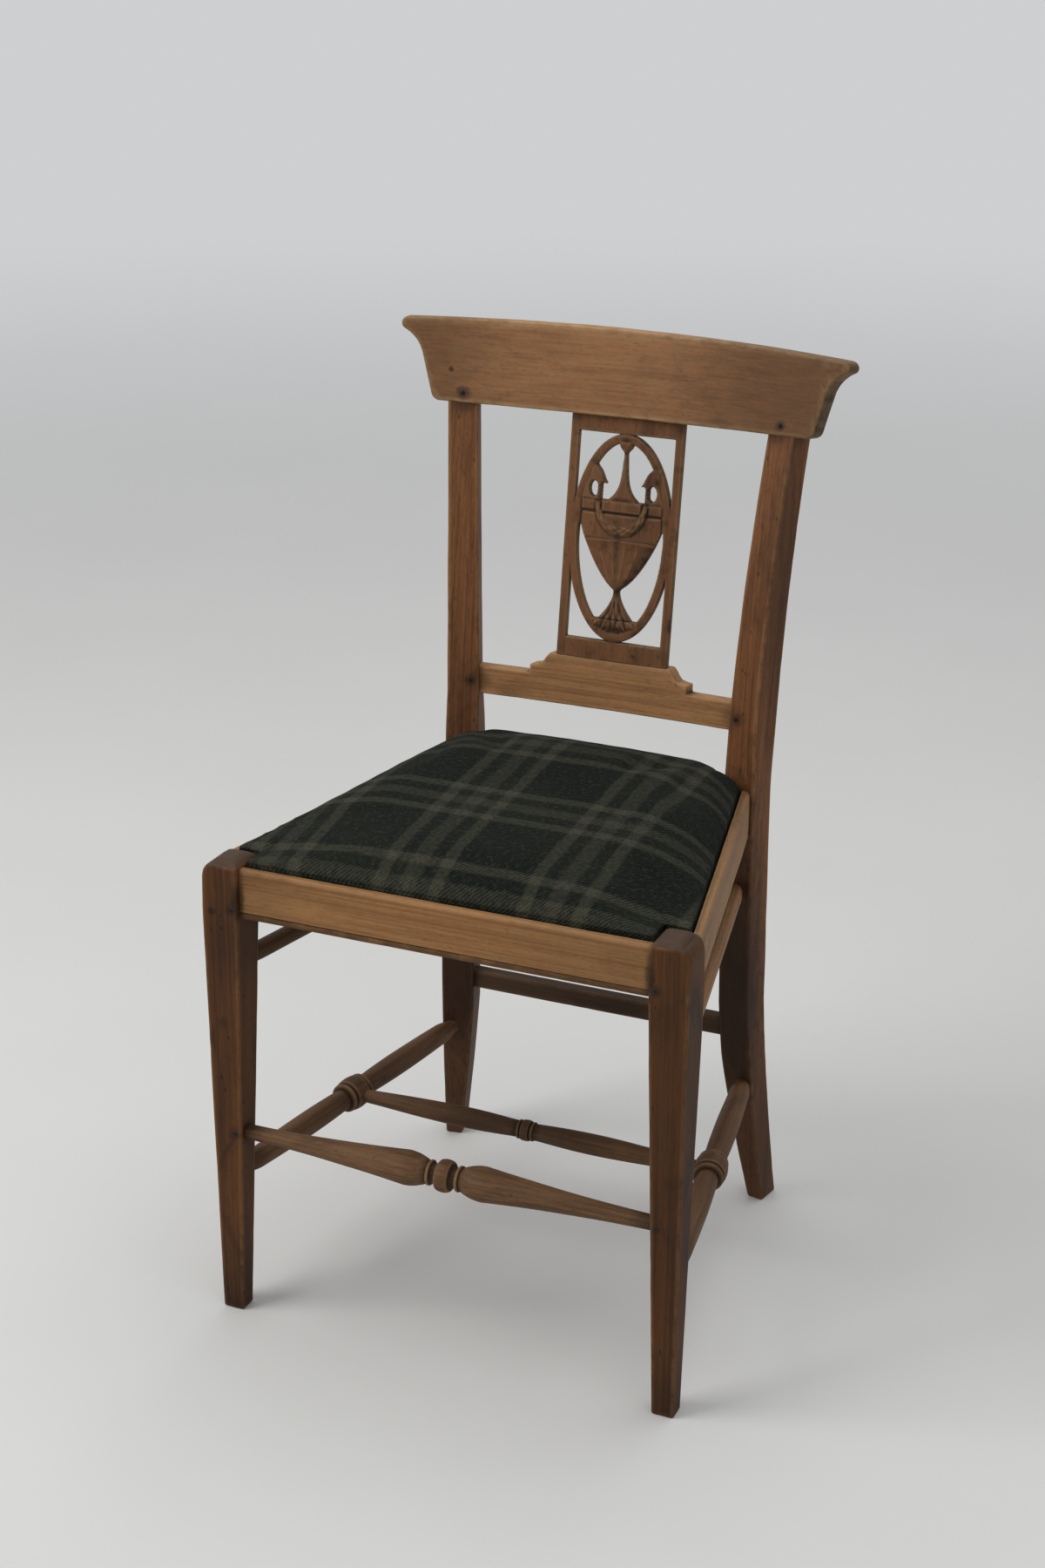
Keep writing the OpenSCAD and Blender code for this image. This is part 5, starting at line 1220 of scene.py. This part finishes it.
web_finish = woven_finish("jute_webbing", (168, 138, 96), (112, 86, 56), 0.0032, stripe=(120, 58, 42))
hessian_finish = woven_finish("hessian_cloth", (158, 134, 98), (98, 78, 52), 0.0022)
y0, y1 = RAIL_SET + LIP + FRAME_GAP + WEB_IN, SEAT_BACK_Y - FRAME_GAP - WEB_IN


def strap(name, start, end, level):
    """A flat strap of webbing with soft edges, its middle at a level."""
    start, end = np.array(start, float), np.array(end, float)
    long = np.linalg.norm(end - start)
    way = (end - start) / long
    aside = np.array([-way[1], way[0]]) * STRAP_W / 2
    rings, cloth = [], []
    for s in np.linspace(0, long, 60):
        edges = ((-1, 0.0), (-0.97, 0.49), (0.97, 0.49), (1, 0.0), (0.97, -0.49), (-0.97, -0.49))
        rings.append([(*(start + way * s + aside * w), level + h * WEB_T) for w, h in edges])
        cloth += [(s, w * STRAP_W / 2, w * STRAP_W / 2) for w, _ in edges]
    points, faces = skin(rings)
    piece = seat_piece(name, points, faces, cloth, web_finish)
    return piece


straps = [strap(f"webbing_strap_long_{i + 2}", (i * LONG_APART, y0), (i * LONG_APART, y1), SEAT_H + WEB_T / 2)
          for i in (-1, 0, 1)]
for i in range(3):
    y = y0 + CROSS_FIRST + i * CROSS_APART
    x = line_x(LIP + FRAME_GAP + WEB_IN, y + STRAP_W / 2)
    straps.append(strap(f"webbing_strap_cross_{i + 1}", (-x, y), (x, y), SEAT_H + WEB_T * 1.5))
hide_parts("seat_webbing")

plan = np.array(seat_plan(FRAME_GAP + HESSIAN_IN))
WEB_TOP = SEAT_H + 2 * WEB_T
points, faces = skin([level_ring(plan, z) for z in (WEB_TOP, WEB_TOP + HESSIAN_T)])
hessian = seat_piece("hessian_sheet", points, faces, points, hessian_finish)
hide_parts("seat_hessian")
wide, long = plan.max(0) - plan.min(0)

# Seat cushion
# Horsehair and wadding under a wool cover in a dark green and olive tartan twill. The
# cover is drawn tight over the edge and down the frame's sides. The crown is highest
# towards the back, and the cloth gathers where it is notched round the front legs.

CROWN, CROWN_LIFT, CROWN_SQUARE, PAD_EDGE, HEM = 27.0, 12.6, 11.4, 1.5, 22.0
NOTCH_SLACK, NOTCH_REACH = 0.62, 48.0    # the crown is lower by this share near the front legs
COVER_LOW = 451.9                        # the cushion's underside, at its edge
PAD_Z = WEB_TOP + HESSIAN_T
MID_Y = (RAIL_SET + LIP + SEAT_BACK_Y) / 2


def ray_length(plan, x, y):
    """From the seat's middle and in each point's direction: how far the outline is, how far the
    point is, and how far an oval that fills the front of the seat is."""
    far = np.maximum(np.hypot(x, y - MID_Y), 1e-6)
    cx, cy = x / far, (y - MID_Y) / far
    length = np.full(x.shape, 1e9)
    for p, q in zip(plan, np.roll(plan, -1, 0)):
        dx, dy = q - p
        cross = cx * dy - cy * dx
        cross = np.where(np.abs(cross) < 1e-9, 1e-9, cross)
        t = (p[0] * dy - (p[1] - MID_Y) * dx) / cross
        u = (p[0] * cy - (p[1] - MID_Y) * cx) / cross
        length = np.where((t > 0) & (u > -1e-6) & (u < 1 + 1e-6), np.minimum(length, t), length)
    return length, np.hypot(x, y - MID_Y), 1 / np.sqrt((cx / leg_in) ** 2 + (cy / (MID_Y - 10)) ** 2)


def stops(marks, step=5.0):
    """Even steps between marks that are kept exactly."""
    made = [np.linspace(a, b, max(2, int(round((b - a) / step)) + 1))[:-1] for a, b in zip(marks, marks[1:])]
    return np.concatenate(made + [marks[-1:]])


def tartan_finish(name):
    """Wool twill: dark green squares, olive bars in threes both ways, and a diagonal rib."""
    stuff = bpy.data.materials.new(name)
    tree = bare(stuff)
    place = stored(tree, "cloth", "Vector")
    wander = speckle(tree, place, (14, 14, 14), 2.0)
    xyz = put(tree, "SeparateXYZ", i0=place)
    tones = []
    for axis, middle, repeat, gap, wide, narrow in ((0, -0.0365, 0.135, 0.0257, 0.0155, 0.0115),
                                                    (1, 0.158, 0.138, 0.0257, 0.0145, 0.0108)):
        at = sums(tree, "SUBTRACT", xyz.outputs[axis], middle + 0.003)
        at = sums(tree, "MULTIPLY_ADD", wander, 0.006, at)
        off = sums(tree, "PINGPONG", at, repeat / 2)
        thick = ramped(tree, off, wide / 2 + 0.002, wide / 2 - 0.002, 0.0, 0.78)
        fine = sums(tree, "ABSOLUTE", sums(tree, "SUBTRACT", off, gap))
        fine = ramped(tree, fine, narrow / 2 + 0.002, narrow / 2 - 0.002)
        bars = sums(tree, "MAXIMUM", thick, fine)
        group = ramped(tree, off, gap + 0.001, gap - 0.001, 0.0, 0.08)
        tones.append(sums(tree, "MAXIMUM", bars, group))
    slant = sums(tree, "SUBTRACT", xyz.outputs[0], xyz.outputs[1])
    slant = sums(tree, "MULTIPLY_ADD", speckle(tree, place, (160, 160, 160), 2.0), 0.0016, slant)
    rib = sums(tree, "SINE", sums(tree, "MULTIPLY", slant, 2 * math.pi / 0.0042))
    over = ramped(tree, rib, -0.45, 0.45, 0.33, 0.67)
    tone = put(tree, "Mix", {"data_type": "FLOAT"}, i0=over, i2=tones[0], i3=tones[1]).outputs[0]
    heather = speckle(tree, place, (900, 900, 900), 3.0, 0.7)
    fade = speckle(tree, place, (9, 9, 9), 3.0)
    ground = blended(tree, ramped(tree, heather, 0.3, 0.7), paint(8, 13, 10), paint(22, 28, 22))
    olive = blended(tree, ramped(tree, heather, 0.3, 0.7), paint(48, 48, 40), paint(74, 73, 61))
    colour = blended(tree, tone, ground, olive)
    nap = speckle(tree, place, (230, 230, 230), 3.0, 0.7)
    colour = blended(tree, ramped(tree, nap, 0.5, 0.68, 0.0, 0.26), colour, paint(72, 72, 62))
    colour = blended(tree, ramped(tree, nap, 0.5, 0.34, 0.0, 0.45), colour, paint(9, 12, 9))
    colour = blended(tree, ramped(tree, rib, 0.0, -0.95, 0.0, 0.3), colour, paint(8, 10, 8))
    colour = blended(tree, ramped(tree, fade, 0.35, 0.75, 0.0, 0.05), colour, paint(84, 82, 70))
    height = sums(tree, "MULTIPLY_ADD", heather, 0.5, rib)
    relief = put(tree, "Bump", Strength=0.45, Distance=0.0005, Height=height).outputs[0]
    surface(tree, colour, 0.95, relief, 0.06, Sheen_Weight=0.02, Sheen_Roughness=0.5)
    return stuff


tartan = tartan_finish("tartan_wool")
plan = np.array(seat_plan(SEAT_GAP))
notch_x, notch_y, back_x, corner_y = plan[1][0], plan[1][1], plan[4][0], plan[4][1]
out_x, front_y, back_y = plan[:, 0].max(), plan[:, 1].min(), plan[:, 1].max()
right = [back_x, notch_x, out_x, out_x + 5]
cx, cy = np.meshgrid(stops([-x for x in right[::-1]] + right),
                     stops([front_y - 5, front_y, notch_y, corner_y, back_y, back_y + 5]))
seat_cut = inside_polygon(plan, cx, cy)
outer, far, oval = ray_length(plan, cx, cy)
spread = outer - oval
spread = np.where(np.abs(spread) < 1e-3, 1e-3, spread)
share = np.clip((-oval + np.sqrt(np.maximum(0, oval ** 2 + 4 * spread * far))) / (2 * spread), 0, 1)
rise = (1 - share ** CROWN_SQUARE) * (CROWN + CLOTH_T - 1.6 + CROWN_LIFT * (cy - MID_Y) / MID_Y)
from_notch = (np.abs(cx) - notch_x) ** 2 + (cy - notch_y) ** 2
rise *= 1 - NOTCH_SLACK * np.exp(-from_notch / NOTCH_REACH ** 2)
soft = blur(np.where(seat_cut > 0, -0.62 * seat_cut, rise), 3)
near = smooth((-seat_cut - 1) / 10)
dome_top = PAD_Z + PAD_EDGE + np.maximum(0, rise * (1 - near) + soft * near)
dome_foot = COVER_LOW + (PAD_Z + 0.2 - COVER_LOW) * smooth(-seat_cut / 6)
points, faces, _ = fretted(seat_cut, dome_top, -dome_foot, cx, cy, ease=0.0)
stuffing = into_scene("stuffing", meshed(
    "stuffing", points[:, (0, 2, 1)] * (0.001, 0.001, -0.001) + (0, FRONT, 0), faces))


def read_grid(field, x, y):
    """A field over the cushion's grid, at any places."""
    xs, ys = cx[0], cy[:, 0]
    i, j = (np.clip(np.searchsorted(line, at) - 1, 0, len(line) - 2) for line, at in ((xs, x), (ys, y)))
    u = np.clip((x - xs[i]) / (xs[i + 1] - xs[i]), 0, 1)
    v = np.clip((y - ys[j]) / (ys[j + 1] - ys[j]), 0, 1)
    front, back = (field[row, i] * (1 - u) + field[row, i + 1] * u for row in (j, j + 1))
    return front * (1 - v) + back * v


def drawn_over(x, y, z):
    """Where a place on the cover lay in the flat cloth: further out than in plan by what the edge's
    slope takes."""
    hang = np.maximum(0, PAD_Z + PAD_EDGE - z)
    return (x + read_grid(slope_x, x, y) + hang * read_grid(away_x, x, y),
            y + read_grid(slope_y, x, y) + hang * read_grid(away_y, x, y))


# measured outward across the edge, and blurred so that the plaid's bars run smoothly
away_y, away_x = np.gradient(blur(seat_cut, 12), cy[:, 0], cx[0])
steep = np.maximum(np.hypot(away_x, away_y), 0.3)
away_x, away_y = away_x / steep, away_y / steep
extra, last = 0 * cx, dome_top
for step in range(1, 31):
    height = read_grid(dome_top, cx - away_x * step, cy - away_y * step)
    extra, last = extra + np.hypot(1, height - last) - 1, height
slope_x, slope_y = blur(away_x * extra, 24), blur(away_y * extra, 24)


def through_modifiers(piece):
    """The piece's mesh as its modifiers leave it."""
    graph = bpy.context.evaluated_depsgraph_get()
    return bpy.data.meshes.new_from_object(piece.evaluated_get(graph))


def places(mesh):
    """The places of a mesh's points."""
    co = np.empty(len(mesh.vertices) * 3)
    mesh.vertices.foreach_get("co", co)
    return co.reshape(-1, 3)


# the filling swells by a cloth simulation, by less than 6 mm
start = places(stuffing.data)
inner = -inside_polygon(plan, start[:, 0] * 1000, (start[:, 1] - FRONT) * 1000)
final = start
cloth = stuffing.modifiers.new("filling", "CLOTH")
cloth.settings.use_pressure = True
cloth.settings.uniform_pressure_force = 4.0
cloth.settings.effector_weights.gravity = 0.0
cloth.settings.quality = 6
cloth.settings.tension_stiffness = 30
cloth.settings.compression_stiffness = 30
cloth.settings.mass = 0.3
held = stuffing.vertex_groups.new(name="held")
low_edge = [i for i, p in enumerate(start) if p[2] < (PAD_Z + PAD_EDGE) * 0.001 + 0.00001]
held.add(low_edge, 1.0, "REPLACE")
cloth.settings.vertex_group_mass = "held"
for step in range(1, 21):
    bpy.context.scene.frame_set(step)
final = places(through_modifiers(stuffing))
stuffing.modifiers.clear()
bpy.context.scene.frame_set(1)
move = final - start
most = 0.0008 + np.clip(inner, 0, 30) * 0.00016
move *= np.minimum(1, most / np.maximum(np.linalg.norm(move, axis=1), 1e-9))[:, None]
stuffing.data.vertices.foreach_set("co", (start + move).ravel())
finer = stuffing.modifiers.new("finer", "SUBSURF")
finer.levels = finer.render_levels = 1
mesh = through_modifiers(stuffing)
bpy.data.objects.remove(stuffing)
x, y, z = ((places(mesh) - (0, FRONT, 0)) * 1000).T
inner = -inside_polygon(plan, x, y)
top = z > PAD_Z + 0.8
near_edge = np.exp(-np.maximum(inner - 3, 0) / 13.0)
for s, _ in SIDES:  # the gathers that run in from the notch round each front leg
    dx, dy = s * x - (leg_in - SEAT_GAP), y - (LEG_D + SEAT_GAP)
    far = np.hypot(dx, dy)
    turn = np.degrees(np.arctan2(dy, -dx))
    fold = sum(deep * np.exp(-((turn - way) / wide) ** 2) for way, wide, deep in (
        (12, 9.0, 2.4), (52, 11.0, 1.5), (32, 8.0, -1.0)))
    z -= top * fold * np.exp(-(far - 4) ** 2 / 26.0 ** 2) * smooth(far / 5) * 0.8
z += top * near_edge * 0.45 * np.sin(np.arctan2(y - MID_Y, x) * 34) * smooth((inner - 2) / 5)
lumps = np.array([noise.noise(Vector((a / 62, b / 62, 0.4)))
                  + 0.5 * noise.noise(Vector((a / 27, b / 27, 3.4))) for a, b in zip(x, y)])
z += top * 0.55 * lumps * smooth((inner - 4) / 22)
mesh.vertices.foreach_set("co", np.column_stack([x * 0.001, y * 0.001 + FRONT, z * 0.001]).ravel())
mesh.name = "seat_cushion"
keep(mesh, "cloth", np.column_stack([*drawn_over(x, y, z), 0 * z]) * 0.001)
mesh.shade_smooth()
mesh.materials.clear()
mesh.materials.append(tartan)
cushion = into_scene("seat_cushion", mesh)
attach(cushion, "drop_in_seat")
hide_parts("seat_pad", "seat_cover")

# Turned-under edge
# The cover goes down the frame's sides, round its lower edge and 22 mm underneath, where
# blued tacks hold it. A strip of the same wool, seen when the seat is lifted out.

HEM_AT, HEM_TOP = SEAT_GAP + 0.6, 453.0  # the strip's upper edge: how far in, and its height
TACK_IN, TACK_APART, TACK_SIDES = 18.5, 26.0, 12
outline = np.array(seat_plan(HEM_AT))


def plan_points(gap, step=9, counted_at=HEM_AT, least=2):
    """The seat's outline with points about a step apart, and equally many for any gap."""
    counted, corners = np.array(seat_plan(counted_at)), np.array(seat_plan(gap))
    lengths = np.linalg.norm(np.roll(counted, -1, 0) - counted, axis=1)
    counts = [max(least, int(round(length / step))) for length in lengths]
    return np.concatenate([a + (b - a) * np.linspace(0, 1, n, endpoint=False)[:, None]
                           for a, b, n in zip(corners, np.roll(corners, -1, 0), counts)])


low, turned_in = LEDGE_Z + REST_GAP, SEAT_GAP + HEM
strip = [(3.0, HEM_TOP, 0), (2.7, 451.4, 1), (2.5, 448, 4), (2.5, 443, 9), (2.5, 438, 14),
         (2.7, low + 0.9, 17), (3.4, low + 0.2, 18), (4.6, low, 19.4), (10, low, 25), (17, low, 32),
         (turned_in, low, 39), (turned_in + 0.2, low + 0.5, 40), (turned_in, low + 1.1, 40),
         (12, low + 1.2, 27), (4.4, low + 1.25, 19), (3.5, low + 1.8, 17), (3.5, 443, 9),
         (3.6, HEM_TOP, 0)]  # how far in from the rebate, the height, and the length along the cloth
rim = plan_points(HEM_AT)
out = rim - plan_points(HEM_AT + 5)
out /= np.maximum(np.linalg.norm(out, axis=1), 1)[:, None]
flat = np.column_stack(drawn_over(rim[:, 0], rim[:, 1], np.full(len(rim), HEM_TOP)))
rings = [level_ring(plan_points(gap), z) for gap, z, _ in strip]
cloth = [level_ring(flat + out * run_down, 0) for _, _, run_down in strip]
n, k = len(rim), len(rings)
faces = [[r * n + i, r * n + (i + 1) % n, (r + 1) % k * n + (i + 1) % n, (r + 1) % k * n + i]
         for r in range(k) for i in range(n)]
hem = seat_piece("cover_turned_under", np.concatenate(rings), faces, np.concatenate(cloth), tartan)

iron = bpy.data.materials.new("blued_iron")
tree = bare(iron)
place = put(tree, "TexCoord").outputs["Object"]
rust = speckle(tree, place, (420, 420, 420), 4.0, 0.65)
colour = blended(tree, ramped(tree, rust, 0.45, 0.65), paint(46, 46, 50), paint(92, 60, 42))
dull = ramped(tree, rust, 0.4, 0.65, 0.38, 0.8)
relief = put(tree, "Bump", Strength=0.4, Distance=0.0002, Height=rust).outputs[0]
surface(tree, colour, dull, relief, 0.5, Metallic=0.85)

head = [(0.2, 3.3), (-0.25, 3.5), (-0.7, 3.1), (-1.05, 2.0), (-1.2, 0.7)]
turn = np.linspace(0, 2 * math.pi, TACK_SIDES, endpoint=False)
points, faces = [], []
for middle in plan_points(SEAT_GAP + TACK_IN, TACK_APART, SEAT_GAP + TACK_IN, 1):
    spots, loops = skin([level_ring(middle + r * np.column_stack([np.cos(turn), np.sin(turn)]), low + z)
                         for z, r in head])
    faces += [[v + len(points) * len(spots) for v in f] for f in loops]
    points.append(spots)
seat_piece("hem_tacks", np.concatenate(points), faces, np.concatenate(points), iron)

# Floor, light and camera
# A plain pale floor under soft studio light, brightest from the upper left as in the
# photograph, and a camera where the photograph was taken from, with a long lens.

BACKDROP = paint(206, 207, 209)
floor_mesh = bpy.data.meshes.new("studio_floor")
floor_mesh.from_pydata([(-30, -30, 0), (30, -30, 0), (30, 30, 0), (-30, 30, 0)], [], [(0, 1, 2, 3)])
pale_floor = bpy.data.materials.new("pale_floor")
tree = bare(pale_floor)
place = put(tree, "TexCoord").outputs["Object"]
cloud = speckle(tree, place, (2.2, 2.2, 2.2), 4.0)
colour = blended(tree, cloud, paint(206, 206, 204), paint(214, 214, 212))
ground = put(tree, "BsdfPrincipled", Base_Color=colour, Roughness=0.75).outputs[0]
backdrop = put(tree, "Emission", Color=BACKDROP, Strength=1.0).outputs[0]
out = put(tree, "VectorMath", {"operation": "LENGTH"}, i0=place).outputs["Value"]
seen = sums(tree, "MULTIPLY", put(tree, "LightPath").outputs["Is Camera Ray"], ramped(tree, out, 1.5, 6.0))
put(tree, "OutputMaterial", Surface=put(tree, "MixShader", i0=seen, i1=ground, i2=backdrop).outputs[0])
floor_mesh.materials.append(pale_floor)
into_scene("studio_floor", floor_mesh)

world = bpy.data.worlds.new("studio")
bpy.context.scene.world = world
tree = bare(world)
seen = put(tree, "LightPath").outputs["Is Camera Ray"]
colour = blended(tree, seen, (0.55, 0.555, 0.565, 1), BACKDROP)
put(tree, "OutputWorld", Surface=put(tree, "Background", Color=colour, Strength=1.0).outputs[0])


def lamp(name, place, towards, size, watts, colour=(1, 1, 1)):
    """A soft square lamp that looks at a point."""
    light = bpy.data.lights.new(name, "AREA")
    light.shape, light.size, light.energy, light.color = "SQUARE", size, watts, colour
    made = into_scene(name, light)
    made.location = place
    made.rotation_euler = (Vector(towards) - Vector(place)).to_track_quat("-Z", "Y").to_euler()


lamp("window", (-1.9, -1.6, 2.5), (0, 0, 0.45), 1.6, 50, (1.0, 0.985, 0.96))
lamp("fill", (2.3, -1.9, 1.7), (0, 0, 0.45), 2.0, 5)
lamp("overhead", (0.2, 0.6, 3.0), (0, 0, 0.4), 2.2, 22)

FOCAL_PX, HIGH_PX, SENSOR = 3038.23, 1800, 36
TURN, PITCH, ROLL = math.radians(23.44), math.radians(21.51), math.radians(0.23)
eye_at = Vector((0.87991, -2.06973, 1.36947))
ahead = Vector((-math.sin(TURN) * math.cos(PITCH), math.cos(TURN) * math.cos(PITCH), -math.sin(PITCH)))
right = Vector((math.cos(TURN), math.sin(TURN), 0))
over = right.cross(ahead)
right, over = (math.cos(ROLL) * right + math.sin(ROLL) * over, math.cos(ROLL) * over - math.sin(ROLL) * right)
lens = bpy.data.cameras.new("photographer")
lens.sensor_fit, lens.sensor_width, lens.sensor_height = "AUTO", SENSOR, SENSOR
lens.lens = FOCAL_PX / HIGH_PX * SENSOR
lens.clip_end = 100
camera = into_scene("photographer", lens)
camera.matrix_world = Matrix.Translation(eye_at) @ Matrix((right, over, -ahead)).transposed().to_4x4()
bpy.context.scene.camera = camera
bpy.context.scene.view_settings.view_transform = "Standard"
